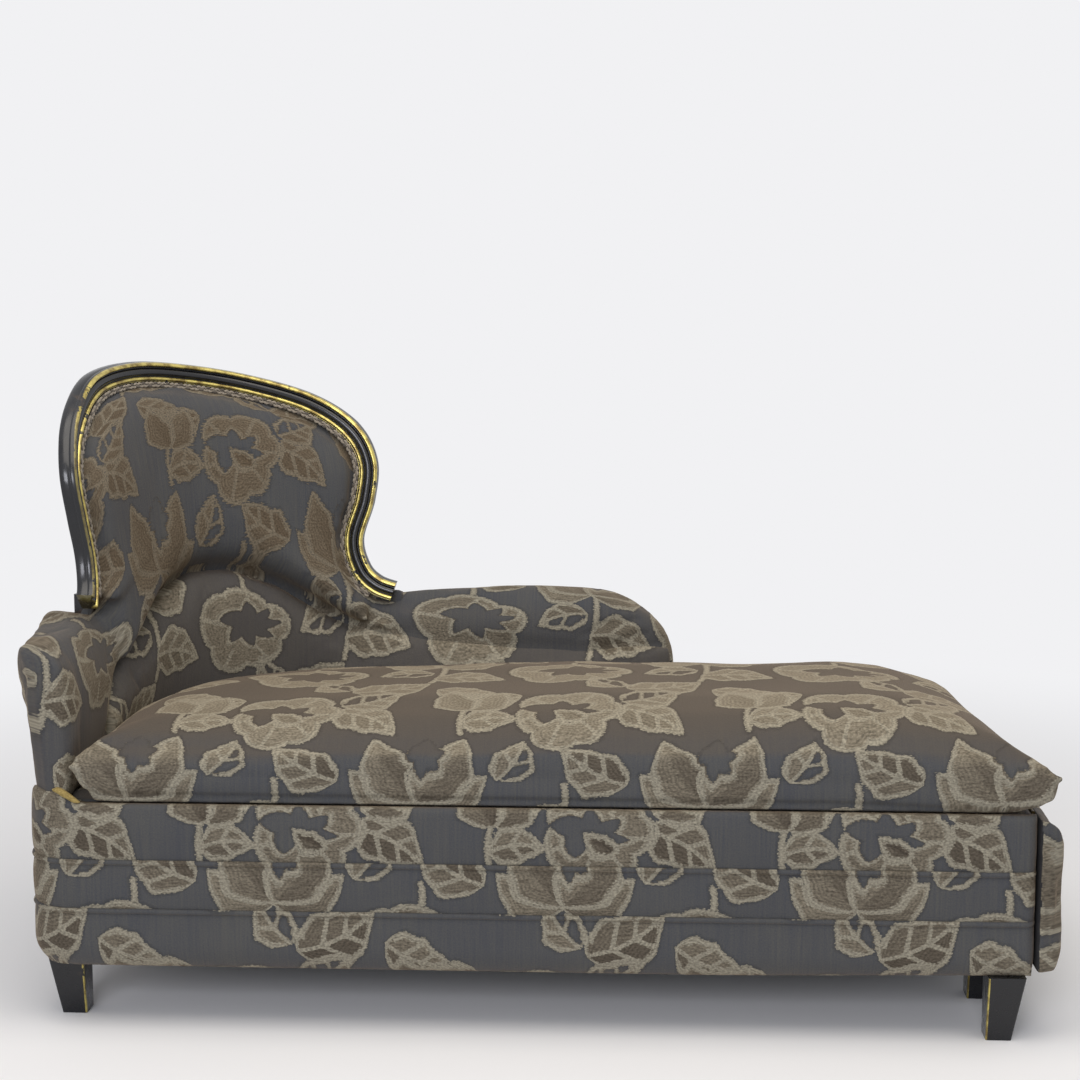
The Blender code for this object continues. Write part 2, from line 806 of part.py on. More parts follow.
def build_outside_back():
    # The cover on the rear of the medallion, as wide as the frame's waist
    edge = inner_edge(pad_clearance)
    shoulder = (lumbar_crest + medallion_crest) / 2
    waist = min(abs(point.x) for point in edge if point.y <= shoulder)
    near = back_pad_depth + touch_gap
    far = near + outside_back_thickness
    low = lumbar_crest + crease_gap
    rings = []
    for run in runs(back_run(-waist), back_run(waist)):
        along = back_along(run)
        high = edge_height(edge, along)
        ring = [on_back(along, low, near), on_back(along, low, far)]
        rings.append(ring + [on_back(along, high, far), on_back(along, high, near)])
    loft("outside_back_panel", rings, fabric)


# Mattress: rounded to the back at the rear head corner, pinched at its corners
def mattress_outline(inset, pull):
    head = base_left + arm_inner + mattress_clearance + inset
    rear = base_rear - arm_inner - mattress_clearance - inset
    front = base_front + inset
    foot = base_right + mattress_overhang - inset
    radius = back_corner_radius - arm_inner - mattress_clearance - inset
    turn = mattress_foot_radius
    sides = mattress_side_steps
    ends = mattress_end_steps
    points = []
    for i in range(sides + 1):
        part = i / sides
        bow = 0.5 * pull * math.sin(math.pi * part)
        points.append(Vector((foot + (head - foot) * part, front + bow)))
    points[0] += Vector((pull, 0.0))
    points[sides] += Vector((-pull, 0.0))
    for i in range(1, ends):
        points.append(Vector((head, front + (rear - radius - front) * i / ends)))
    for i in range(mattress_bend_steps + 1):
        angle = math.pi / 2 * i / mattress_bend_steps
        points.append(Vector((head + radius - radius * math.cos(angle), rear - radius + radius * math.sin(angle))))
    for i in range(1, sides):
        points.append(Vector((head + radius + (foot - turn - head - radius) * i / sides, rear)))
    for i in range(mattress_corner_steps + 1):
        angle = math.pi / 2 * i / mattress_corner_steps
        points.append(Vector((foot - turn + turn * math.sin(angle), rear - turn + turn * math.cos(angle))))
    for i in range(1, ends):
        part = i / ends
        bow = 0.5 * pull * math.sin(math.pi * part)
        points.append(Vector((foot - bow, rear - turn + (front - rear + turn) * part)))
    return points


def build_mattress():
    # A level is (inset from the outline, height, share of the corner pull)
    low_side = pad_bottom + (mattress_seam - pad_bottom) * 0.28
    high_side = mattress_shoulder - (mattress_shoulder - mattress_seam) * 0.42
    crown_side = mattress_shoulder + (mattress_crown - mattress_shoulder) * 0.60
    seam = (mattress_seam - mattress_border / 2, mattress_seam + mattress_border / 2)
    levels = (
        (0.150, pad_bottom, 0.0), (0.050, pad_bottom, 0.0), (0.016, low_side, 0.4), (0.004, seam[0], 1.0),
        (0.004, seam[1], 1.0), (0.016, high_side, 0.4), (0.050, mattress_shoulder, 0.0),
        (0.110, crown_side, 0.0), (0.200, mattress_crown, 0.0),
    )
    rings = []
    for inset, height, share in levels:
        outline = mattress_outline(inset, mattress_corner_pull * share)
        rings.append([(point.x, point.y, height) for point in outline])
    mattress = loft("mattress", rings, fabric)
    hang("mattress_seat", Vector((0.0, 0.0, pad_bottom)), (mattress,))


# Flap: board, crowned pad and a long hinge along its top
def build_flap():
    board_x = base_right + flap_gap
    pad_x = board_x + flap_board_thickness + touch_gap
    low_y = base_front + flap_side_inset
    high_y = base_rear - flap_side_inset
    low_z = leg_height + flap_bottom_rise
    axis = Vector((base_right + flap_gap / 2, 0.0, base_top - hinge_axis_drop))
    high_z = axis.z - flap_top_drop
    board = box("flap_board", (board_x, low_y, low_z), (board_x + flap_board_thickness, high_y, high_z), beech)
    rings = []
    for inset, rise in flap_pad_shape:
        x = pad_x + flap_pad_thickness * rise
        low = (low_y + inset, low_z + inset)
        high = (high_y - inset, high_z - inset)
        rings.append([(x, low[0], low[1]), (x, high[0], low[1]), (x, high[0], high[1]), (x, low[0], high[1])])
    pad = loft("flap_pad", rings, fabric)
    leaf = build_hinge(axis, low_y + hinge_end_inset, high_y - hinge_end_inset, board_x)
    hang("flap_pivot", axis, (board, pad, leaf))


def knuckle_span(start, stop, number):
    length = (stop - start) / hinge_knuckles
    return start + length * number + touch_gap, start + length * (number + 1) - touch_gap


def cylinder_along_y(name, axis, start, stop, radius, material, collection=parts):
    bm = bmesh.new()
    bmesh.ops.create_cone(bm, cap_ends=True, segments=16, radius1=radius, radius2=radius, depth=stop - start)
    for vert in bm.verts:
        x, y, z = vert.co
        vert.co = (axis.x + x, (start + stop) / 2 + z, axis.z - y)
    return mesh_object(name, bm, material, collection)


def cut_with(target, cutter, operation):
    cutter.hide_render = True
    cutter.display_type = "WIRE"
    change = target.modifiers.new(cutter.name, "BOOLEAN")
    change.operation = operation
    change.solver = "EXACT"
    change.object = cutter


def build_hinge(axis, start, stop, board_x):
    bore = cylinder_along_y(
        "hinge_bore",
        axis,
        start - hinge_bore_margin,
        stop + hinge_bore_margin,
        hinge_pin_radius + touch_gap,
        hinge_brass,
        cutters,
    )
    knuckle = hinge_knuckle_radius
    low_z = axis.z - hinge_leaf_height
    leaves = (
        ("hinge_fixed_leaf", base_right + touch_gap, 0),
        ("hinge_flap_leaf", board_x - touch_gap - hinge_leaf_thickness, 1),
    )
    for name, leaf_x, first in leaves:
        low = (leaf_x, start, low_z)
        high = (leaf_x + hinge_leaf_thickness, stop, axis.z - knuckle - touch_gap * 2)
        leaf = box(name, low, high, hinge_brass)
        for number in range(first, hinge_knuckles, 2):
            span = knuckle_span(start, stop, number)
            arm_low = (leaf_x, span[0], axis.z - knuckle - touch_gap * 3)
            arm_high = (leaf_x + hinge_leaf_thickness, span[1], axis.z)
            strip = box(f"{name}_strip_{number}", arm_low, arm_high, hinge_brass, cutters)
            cut_with(leaf, strip, "UNION")
            barrel = cylinder_along_y(f"{name}_barrel_{number}", axis, *span, knuckle, hinge_brass, cutters)
            cut_with(leaf, barrel, "UNION")
        cut_with(leaf, bore, "DIFFERENCE")
    cylinder_along_y("hinge_pin", axis, start, stop, hinge_pin_radius, hinge_brass)
    return leaf


build_base_frame()
build_legs()
build_border()
build_suspension()
build_posts()
build_arm_pads()
build_lumbar_pad()
build_outer_back()
build_medallion()
build_back_pad()
build_outside_back()
build_mattress()
build_flap()
print("pieces", sum(1 for item in parts.objects if item.type != "EMPTY"))
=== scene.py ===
# Upholstered daybed with an ebonised, gilt-lined medallion back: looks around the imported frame
import math

import bmesh
import bpy
import numpy as np
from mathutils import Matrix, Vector, noise


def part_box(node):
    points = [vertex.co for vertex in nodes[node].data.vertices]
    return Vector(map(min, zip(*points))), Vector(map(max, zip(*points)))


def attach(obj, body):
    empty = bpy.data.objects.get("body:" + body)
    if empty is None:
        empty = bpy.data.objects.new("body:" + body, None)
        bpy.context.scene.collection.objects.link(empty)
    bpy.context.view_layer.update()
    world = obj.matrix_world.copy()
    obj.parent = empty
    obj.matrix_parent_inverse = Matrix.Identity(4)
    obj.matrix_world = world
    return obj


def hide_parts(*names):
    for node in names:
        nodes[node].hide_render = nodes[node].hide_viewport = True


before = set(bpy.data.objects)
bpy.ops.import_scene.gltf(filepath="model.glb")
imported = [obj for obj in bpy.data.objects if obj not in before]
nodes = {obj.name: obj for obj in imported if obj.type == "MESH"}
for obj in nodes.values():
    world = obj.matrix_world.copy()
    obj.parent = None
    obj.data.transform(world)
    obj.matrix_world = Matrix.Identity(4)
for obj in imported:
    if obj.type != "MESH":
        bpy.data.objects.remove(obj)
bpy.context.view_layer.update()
scene = bpy.context.scene
scene.view_settings.view_transform = "Standard"
print("frame loaded:", len(nodes), "nodes")


# Camera, at the photograph's height and angle
view = {"place": (0.187, -3.434, 1.175), "down": 7.35, "turn": 2.89, "lens": 68.33}
camera = bpy.data.objects.new("camera", bpy.data.cameras.new("camera"))
camera.data.lens = view["lens"]
camera.data.sensor_width = 36
camera.location = view["place"]
camera.rotation_euler = (math.radians(90 - view["down"]), 0, math.radians(view["turn"]))
scene.collection.objects.link(camera)
scene.camera = camera


# Colours are written as sRGB hex
def hexColour(text):
    channels = [int(text[i:i + 2], 16) / 255 for i in (1, 3, 5)]
    return [c / 12.92 if c <= 0.04045 else ((c + 0.055) / 1.055) ** 2.4 for c in channels] + [1.0]


def addNode(tree, kind, inputs=None, stops=(), **settings):
    # settings are the node's own properties; stops are a colour ramp's places and colours
    node = tree.nodes.new(kind)
    for name, value in settings.items():
        setattr(node, name, value)
    if stops:
        elements = node.color_ramp.elements
        while len(elements) < len(stops):
            elements.new(0.5)
        for element, (place, colour) in zip(elements, stops):
            element.position = place
            element.color = hexColour(colour)
    for name, value in (inputs or {}).items():
        socket = node.inputs[name]
        if isinstance(value, tuple) and len(value) == 2 and hasattr(value[0], "outputs"):
            tree.links.new(value[0].outputs[value[1]], socket)
        elif isinstance(value, str):
            socket.default_value = hexColour(value)
        else:
            socket.default_value = value
    return node


def newMaterial(name):
    material = bpy.data.materials.new(name)
    material.use_nodes = True
    tree = material.node_tree
    tree.nodes.clear()
    return material, tree


# Plain pale floor that fades into pale air all round, with soft overhead and front light
stage = {
    "floor": "#f0f0f1", "air": "#f1f1f3", "radius": 40.0, "fadeFrom": 0.9, "fadeTo": 3.0,
    "airSeen": 1.0, "airLight": 0.5,
}


def airStrength(tree):
    # one strength where the eye or a reflection meets it, another for the light it gives
    path = addNode(tree, "ShaderNodeLightPath")
    bright = addNode(tree, "ShaderNodeMath", {
        0: (path, "Is Camera Ray"), 1: (path, "Is Glossy Ray")}, operation="MAXIMUM")
    clear = addNode(tree, "ShaderNodeMath", {
        0: (bright, "Value"), 1: (path, "Is Transmission Ray")}, operation="MAXIMUM")
    return addNode(tree, "ShaderNodeMapRange", {
        "Value": (clear, "Value"), "To Min": stage["airLight"], "To Max": stage["airSeen"]})


def buildStage():
    bm = bmesh.new()
    bmesh.ops.create_circle(bm, cap_ends=True, segments=96, radius=stage["radius"])
    mesh = bpy.data.meshes.new("paleFloor")
    bm.to_mesh(mesh)
    bm.free()
    floor = bpy.data.objects.new("paleFloor", mesh)
    scene.collection.objects.link(floor)
    material, tree = newMaterial("mattPaleFloor")
    where = addNode(tree, "ShaderNodeTexCoord")
    far = addNode(tree, "ShaderNodeVectorMath", {0: (where, "Object")}, operation="LENGTH")
    fade = addNode(tree, "ShaderNodeMapRange", {
        "Value": (far, "Value"), "From Min": stage["fadeFrom"], "From Max": stage["fadeTo"]},
        interpolation_type="SMOOTHSTEP")
    near = addNode(tree, "ShaderNodeBsdfPrincipled", {"Base Color": stage["floor"], "Roughness": 0.9})
    strength = airStrength(tree)
    away = addNode(tree, "ShaderNodeEmission", {"Color": stage["air"], "Strength": (strength, "Result")})
    both = addNode(tree, "ShaderNodeMixShader", {
        0: (fade, "Result"), 1: (near, "BSDF"), 2: (away, "Emission")})
    addNode(tree, "ShaderNodeOutputMaterial", {"Surface": (both, "Shader")})
    mesh.materials.append(material)
    world = bpy.data.worlds.new("studioAir")
    scene.world = world
    world.use_nodes = True
    sky = world.node_tree
    strength = airStrength(sky)
    sky.nodes["Background"].inputs["Color"].default_value = hexColour(stage["air"])
    sky.links.new(strength.outputs["Result"], sky.nodes["Background"].inputs["Strength"])


def addLamp(name, place, aim, size, power, colour):
    lamp = bpy.data.lights.new(name, "AREA")
    lamp.shape = "RECTANGLE"
    lamp.size, lamp.size_y = size
    lamp.energy = power
    lamp.color = hexColour(colour)[:3]
    thing = bpy.data.objects.new(name, lamp)
    thing.location = place
    thing.rotation_euler = (Vector(aim) - Vector(place)).to_track_quat("-Z", "Y").to_euler()
    scene.collection.objects.link(thing)


buildStage()
addLamp("overheadSoftbox", (0.2, -0.9, 3.2), (0.1, -0.1, 0.3), (3.4, 2.4), 62, "#fff8ee")
addLamp("frontSoftbox", (-1.2, -7.4, 3.4), (0, 0, 0.5), (3.6, 2.4), 272, "#f2f3fb")
print("camera, floor and lights set")


# Base outline: a walk from the foot's front corner round the head to the foot's rear corner
rollLow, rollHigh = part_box("upper_border_roll")
outline = {
    "left": rollLow.x, "right": rollHigh.x, "front": rollLow.y, "rear": rollHigh.y,
    "frontRadius": 0.080, "backRadius": 0.450, "backInset": 0.050,
}
baseTop = rollHigh.z
frontRun = outline["right"] - outline["left"] - outline["frontRadius"]
headStart = frontRun + outline["frontRadius"] * math.pi / 2
headRun = outline["rear"] - outline["front"] - outline["frontRadius"] - outline["backRadius"]
cornerStart = headStart + headRun
cornerEnd = cornerStart + outline["backRadius"] * math.pi / 2
outlineEnd = cornerEnd + outline["right"] - outline["left"] - outline["backRadius"]
cornerMiddle = (cornerStart + cornerEnd) / 2
backRadius = outline["backRadius"] - outline["backInset"]
backHalfArc = backRadius * math.pi / 4
cornerCentre = Vector((outline["left"] + outline["backRadius"], outline["rear"] - outline["backRadius"]))


def outlinePoint(run, offset):
    if run <= frontRun:
        return Vector((outline["right"] - run, outline["front"] - offset))
    if run <= headStart:
        turn = (run - frontRun) / outline["frontRadius"]
        reach = outline["frontRadius"] + offset
        middle = Vector((outline["left"], outline["front"])) + Vector((1, 1)) * outline["frontRadius"]
        return middle + reach * Vector((-math.sin(turn), -math.cos(turn)))
    if run <= cornerStart:
        return Vector((outline["left"] - offset, outline["front"] + outline["frontRadius"] + run - headStart))
    if run <= cornerEnd:
        turn = (run - cornerStart) / outline["backRadius"]
        return cornerCentre + (outline["backRadius"] + offset) * Vector((-math.cos(turn), math.sin(turn)))
    return Vector((cornerCentre.x + run - cornerEnd, outline["rear"] + offset))


def backRun(along):
    if abs(along) <= backHalfArc:
        return cornerMiddle + along * outline["backRadius"] / backRadius
    if along > 0:
        return cornerEnd + along - backHalfArc
    return cornerStart + along + backHalfArc


def alongBack(points):
    # distance along the back and depth outward from the base outline, for an array of points
    x = points[:, 0] - cornerCentre.x
    y = points[:, 1] - cornerCentre.y
    turn = np.clip(np.arctan2(y, -x), 0, math.pi / 2)
    reach = np.hypot(x, y) - outline["backRadius"]
    along = (turn - math.pi / 4) * backRadius
    headSide = y < 0
    rearSide = (x > 0) & ~headSide
    along = np.where(headSide, y - backHalfArc, along)
    along = np.where(rearSide, x + backHalfArc, along)
    reach = np.where(headSide, outline["left"] - points[:, 0], reach)
    reach = np.where(rearSide, points[:, 1] - outline["rear"], reach)
    return along, reach


# Pieces
def newPiece(name, mesh, materials, body, stoodFor=()):
    thing = bpy.data.objects.new(name, mesh)
    scene.collection.objects.link(thing)
    for material in materials:
        mesh.materials.append(material)
    mesh.shade_smooth()
    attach(thing, body)
    if stoodFor:
        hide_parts(*stoodFor)
    return thing


def meshFrom(name, bm):
    bmesh.ops.recalc_face_normals(bm, faces=bm.faces)
    mesh = bpy.data.meshes.new(name)
    bm.to_mesh(mesh)
    bm.free()
    return mesh


def pointsOf(mesh):
    flat = np.empty(len(mesh.vertices) * 3, np.float32)
    mesh.vertices.foreach_get("co", flat)
    return flat.reshape(-1, 3).astype(float)


def normalsOf(mesh):
    flat = np.empty(len(mesh.vertices) * 3, np.float32)
    mesh.vertex_normals.foreach_get("vector", flat)
    return flat.reshape(-1, 3).astype(float)


def setPoints(mesh, points):
    mesh.vertices.foreach_set("co", points.astype(np.float32).ravel())
    mesh.update()


def gridSweep(columns, rows, place, closed):
    # a flat grid bent into shape: place(column, row) gives the point; closed joins the last row to the first
    bm = bmesh.new()
    bmesh.ops.create_grid(bm, x_segments=columns - 1, y_segments=rows - 1, size=0.5)
    for vert in bm.verts:
        column = round((vert.co.x + 0.5) * (columns - 1))
        row = round((vert.co.y + 0.5) * (rows - 1))
        vert.co = place(column, row)
    if closed:
        bmesh.ops.remove_doubles(bm, verts=bm.verts, dist=1e-6)
        rims = [e for e in bm.edges if e.is_boundary]
        if rims:
            bmesh.ops.holes_fill(bm, edges=rims, sides=0)
    return bm


# Woven floral: fields in metres on the cloth, painted motif over motif
cloth = {"repeatWide": 0.450, "repeatHigh": 0.520, "outline": 0.0090, "vein": 0.0034}
motifs = [
    dict(kind="stem", at=(0.118, 0.262), turn=-94, length=0.050, bend=0.004, width=0.0055),
    dict(kind="leaf", at=(0.216, 0.262), turn=146, length=0.124, width=0.043, bend=0.012, veins=3, tone=0.28),
    dict(kind="leaf", at=(0.014, 0.268), turn=64, length=0.092, width=0.034, bend=-0.010, veins=2, bare=-1,
         tone=0.42),
    dict(kind="bloom", at=(0.112, 0.152), size=0.100, petals=5, depth=0.17, lean=0.30, flat=0.84, tone=0.46),
    dict(kind="hollow", at=(0.128, 0.162), size=0.068, teeth=7, depth=0.44, lean=0.40, flat=0.62),
    dict(kind="stem", at=(0.334, 0.090), turn=86, length=0.150, bend=-0.008, width=0.0055),
    dict(kind="leaf", at=(0.336, 0.128), turn=-8, length=0.124, width=0.044, bend=0.014, veins=3, tone=0.25),
    dict(kind="leaf", at=(0.332, 0.172), turn=198, length=0.096, width=0.035, bend=-0.010, veins=2, bare=1,
         tone=0.42),
    dict(kind="petal", at=(0.338, 0.226), turn=24, length=0.122, width=0.040, bend=-0.016, tone=0.52),
    dict(kind="petal", at=(0.338, 0.226), turn=152, length=0.118, width=0.040, bend=0.016, tone=0.52),
    dict(kind="petal", at=(0.338, 0.230), turn=118, length=0.142, width=0.044, bend=0.014, tone=0.40),
    dict(kind="petal", at=(0.338, 0.230), turn=60, length=0.150, width=0.046, bend=-0.014, tone=0.46),
    dict(kind="hollow", at=(0.352, 0.316), size=0.034, teeth=5, depth=0.34, lean=0.90, flat=1.30),
    dict(kind="leaf", at=(0.214, 0.012), turn=30, length=0.140, width=0.050, bend=-0.014, veins=3, tone=0.22),
    dict(kind="leaf", at=(0.206, 0.024), turn=126, length=0.090, width=0.034, bend=0.008, veins=2, bare=-1,
         tone=0.46),
    dict(kind="leaf", at=(0.352, 0.028), turn=-20, length=0.112, width=0.040, bend=-0.012, veins=3,
         tone=0.36),
    dict(kind="leaf", at=(0.044, 0.496), turn=188, length=0.106, width=0.038, bend=0.012, veins=2, tone=0.26),
    dict(kind="leaf", at=(0.192, 0.430), turn=-30, length=0.128, width=0.044, bend=0.014, veins=3, tone=0.24),
    dict(kind="leaf", at=(0.206, 0.456), turn=38, length=0.112, width=0.041, bend=-0.010, veins=3, bare=1,
         tone=0.44),
    dict(kind="bloom", at=(0.120, 0.420), size=0.094, petals=6, depth=0.18, lean=1.20, flat=0.90, tone=0.50),
    dict(kind="hollow", at=(0.106, 0.426), size=0.058, teeth=6, depth=0.42, lean=0.10, flat=0.74),
    dict(kind="petal", at=(0.150, 0.398), turn=150, length=0.060, width=0.020, bend=0.006, tone=0.10),
    dict(kind="stem", at=(0.404, 0.372), turn=84, length=0.080, bend=0.006, width=0.0050),
    dict(kind="leaf", at=(0.404, 0.394), turn=4, length=0.088, width=0.033, bend=0.010, veins=2, tone=0.40),
    dict(kind="petal", at=(0.412, 0.434), turn=58, length=0.098, width=0.036, bend=-0.010, tone=0.44),
    dict(kind="petal", at=(0.412, 0.434), turn=112, length=0.096, width=0.036, bend=0.010, tone=0.30),
]


def turned(u, v, motif):
    # distances from a motif's own centre, carried round the repeat and turned
    wide, high = cloth["repeatWide"], cloth["repeatHigh"]
    x = (u - motif["at"][0] + wide / 2) % wide - wide / 2
    y = (v - motif["at"][1] + high / 2) % high - high / 2
    turn = math.radians(motif.get("turn", 0))
    c, s = math.cos(turn), math.sin(turn)
    return x * c + y * s, y * c - x * s


def leafField(x, y, motif):
    # positive inside; the second field is the distance to the rib and veins, the third tells the halves apart
    length = motif["length"]
    t = np.clip(x / length, 0, 1)
    bowed = y - motif.get("bend", 0) * 4 * t * (1 - t)
    half = motif["width"] * np.sin(math.pi * t ** 0.82) ** 0.8 * (1.14 - 0.34 * t)
    half = half * (1 + 0.06 * np.sin(t * 19 + motif["width"] * 900))
    inside = (half - np.abs(bowed)) * 0.92
    beyond = np.hypot(x - t * length, bowed)
    edge = np.where((x < 0) | (x > length), -beyond, inside)
    own = np.full(len(x), 0.2)
    if motif.get("veins"):
        rib = np.abs(bowed) + np.where(t > 0.9, 0.02, 0)
        spacing = length / (motif["veins"] + 0.6)
        slant = (x - np.abs(bowed) * 0.8) / spacing
        vein = np.abs(slant - np.round(slant)) * spacing * 0.75 + np.where((t > 0.86) | (t < 0.12), 0.02, 0)
        own = np.minimum(rib, vein)
    return edge, own, bowed


def bloomField(x, y, motif):
    # scalloped rim; the second field is the distance to the folds between the petals
    size, lean = motif["size"], motif["lean"]
    petals = motif.get("teeth") or motif["petals"]
    y = y / motif["flat"]
    reach = np.hypot(x, y)
    turn = np.arctan2(y, x)
    wave = np.abs(np.cos(petals * (turn - lean) / 2 + 0.5 * np.sin(turn + lean))) ** 0.55
    if "teeth" in motif:
        # saw-edged opening, its teeth leaning one way
        saw = (petals * (turn - lean) / (2 * math.pi) + 0.35 * np.sin(turn + lean)) % 1.0
        wave = np.where(saw < 0.7, saw / 0.7, (1 - saw) / 0.3)
    swing = 1 + 0.09 * np.cos(2 * turn + lean * 3) + 0.06 * np.cos(3 * turn - lean)
    edge = (size * (1 - motif["depth"] * (1 - wave)) * swing - reach) * 0.8
    step = 2 * math.pi / petals
    share = ((turn - lean + np.sin(turn + lean) / petals) / step) % 1.0 - 0.5
    fold = reach * np.abs(np.sin((np.abs(share) - 0.5) * step)) * 0.9
    return edge, np.where(reach < size * 0.45, 1.0, fold)


def stemField(x, y, motif):
    t = np.clip(x / motif["length"], 0, 1)
    return motif["width"] - np.hypot(x - t * motif["length"], y - motif["bend"] * 4 * t * (1 - t))


def paintMotifs(u, v):
    # edge is positive on a motif and negative on the ground, line is below 1 on a woven outline or vein,
    # and tone is the shade of the filling
    edge = np.full(len(u), -0.2)
    line = np.full(len(u), 20.0)
    tone = np.zeros(len(u))
    for motif in motifs:
        x, y = turned(u, v, motif)
        kind = motif["kind"]
        own = np.full(len(u), 0.2)
        shade = np.full(len(u), motif.get("tone", 0.6))
        bare = np.zeros(len(u), bool)
        if kind in ("leaf", "petal"):
            field, own, side = leafField(x, y, motif)
            bare = side * motif.get("bare", 0) > 0
            lift = 0.3 if kind == "petal" else 0.12
            shade = shade + lift * (np.clip(x / motif["length"], 0, 1) - 0.5) + 0.12 * np.sign(side)
        elif kind == "stem":
            field = stemField(x, y, motif)
        else:
            field, own = bloomField(x, y, motif)
        inside = field > 0
        if kind == "hollow":
            line = np.where(inside, 20.0, np.minimum(line, -field / cloth["outline"]))
            edge = np.where(inside, -field, np.minimum(edge, -field))
            continue
        drawn = np.maximum(cloth["outline"] - field, cloth["vein"] - own)
        body = np.where(bare, np.minimum(field, drawn), field)
        drawnLine = np.minimum(field / cloth["outline"], own / cloth["vein"])
        line = np.where(inside, drawnLine, np.minimum(line, -field / cloth["outline"] * 2))
        edge = np.where(inside, body, np.maximum(edge, field))
        tone = np.where(inside, shade, tone)
    return edge, line, tone


def dress(mesh, u, v, brown=0.0, paintedTopLight=0.0):
    # lays the cloth on a mesh: where each point lies on the cloth, its shade and the woven fields there
    count = len(mesh.vertices)
    at = np.zeros((count, 3), np.float32)
    at[:, 0], at[:, 1] = u, v
    # above 0 the chenille has browned and darkened; below 0 it is painted lighter and warmer as painted
    # light, which on top-facing cloth stands for light from above
    at[:, 2] = brown - paintedTopLight * np.clip(normalsOf(mesh)[:, 2] * 1.6 - 0.6, 0, 1)
    fields = np.stack(paintMotifs(u, v), axis=1).astype(np.float32)
    for name, values in (("clothAt", at), ("motif", fields)):
        attribute = mesh.attributes.new(name, "FLOAT_VECTOR", "POINT")
        attribute.data.foreach_set("vector", values.ravel())


# Jacquard: matt slate warp-faced ground with fine upright ribs, chenille motifs standing a little proud
jacquard = {
    # the third ground colour and the last colour are painted light: lighter, warmer shades for top-facing
    # cloth lit from above and for the lumbar roll
    "ground": "#414348", "groundWorn": "#54534e", "groundPaintedLit": "#514a42",
    "fillDark": "#463f36", "fillMid": "#6b6457", "fillLight": "#7a7364",
    "outline": "#837e70", "brown": "#594b39", "paintedLitPale": "#a0957e",
}
# noises in the weave: how many to a metre across and up the cloth, and their detail
weave = {
    # ribs 1.1 mm apart in the cloth, drawn about 4 mm apart so that they show in the render
    "ribs": (260, 9, 2.0),
    # slubs and lint in the ground, drawn 2.5 mm across
    "lint": (400, 400, 1.0),
    "wear": (7, 5, 3.0),
    # steps of the weft, its picks drawn 3 mm apart
    "comb": (190, 330, 1.0),
    # weft floats rubbed out into long strokes
    "strokes": (42, 300, 2.0),
    # chenille tufts drawn 3 mm across
    "tufts": (250, 340, 2.0),
}


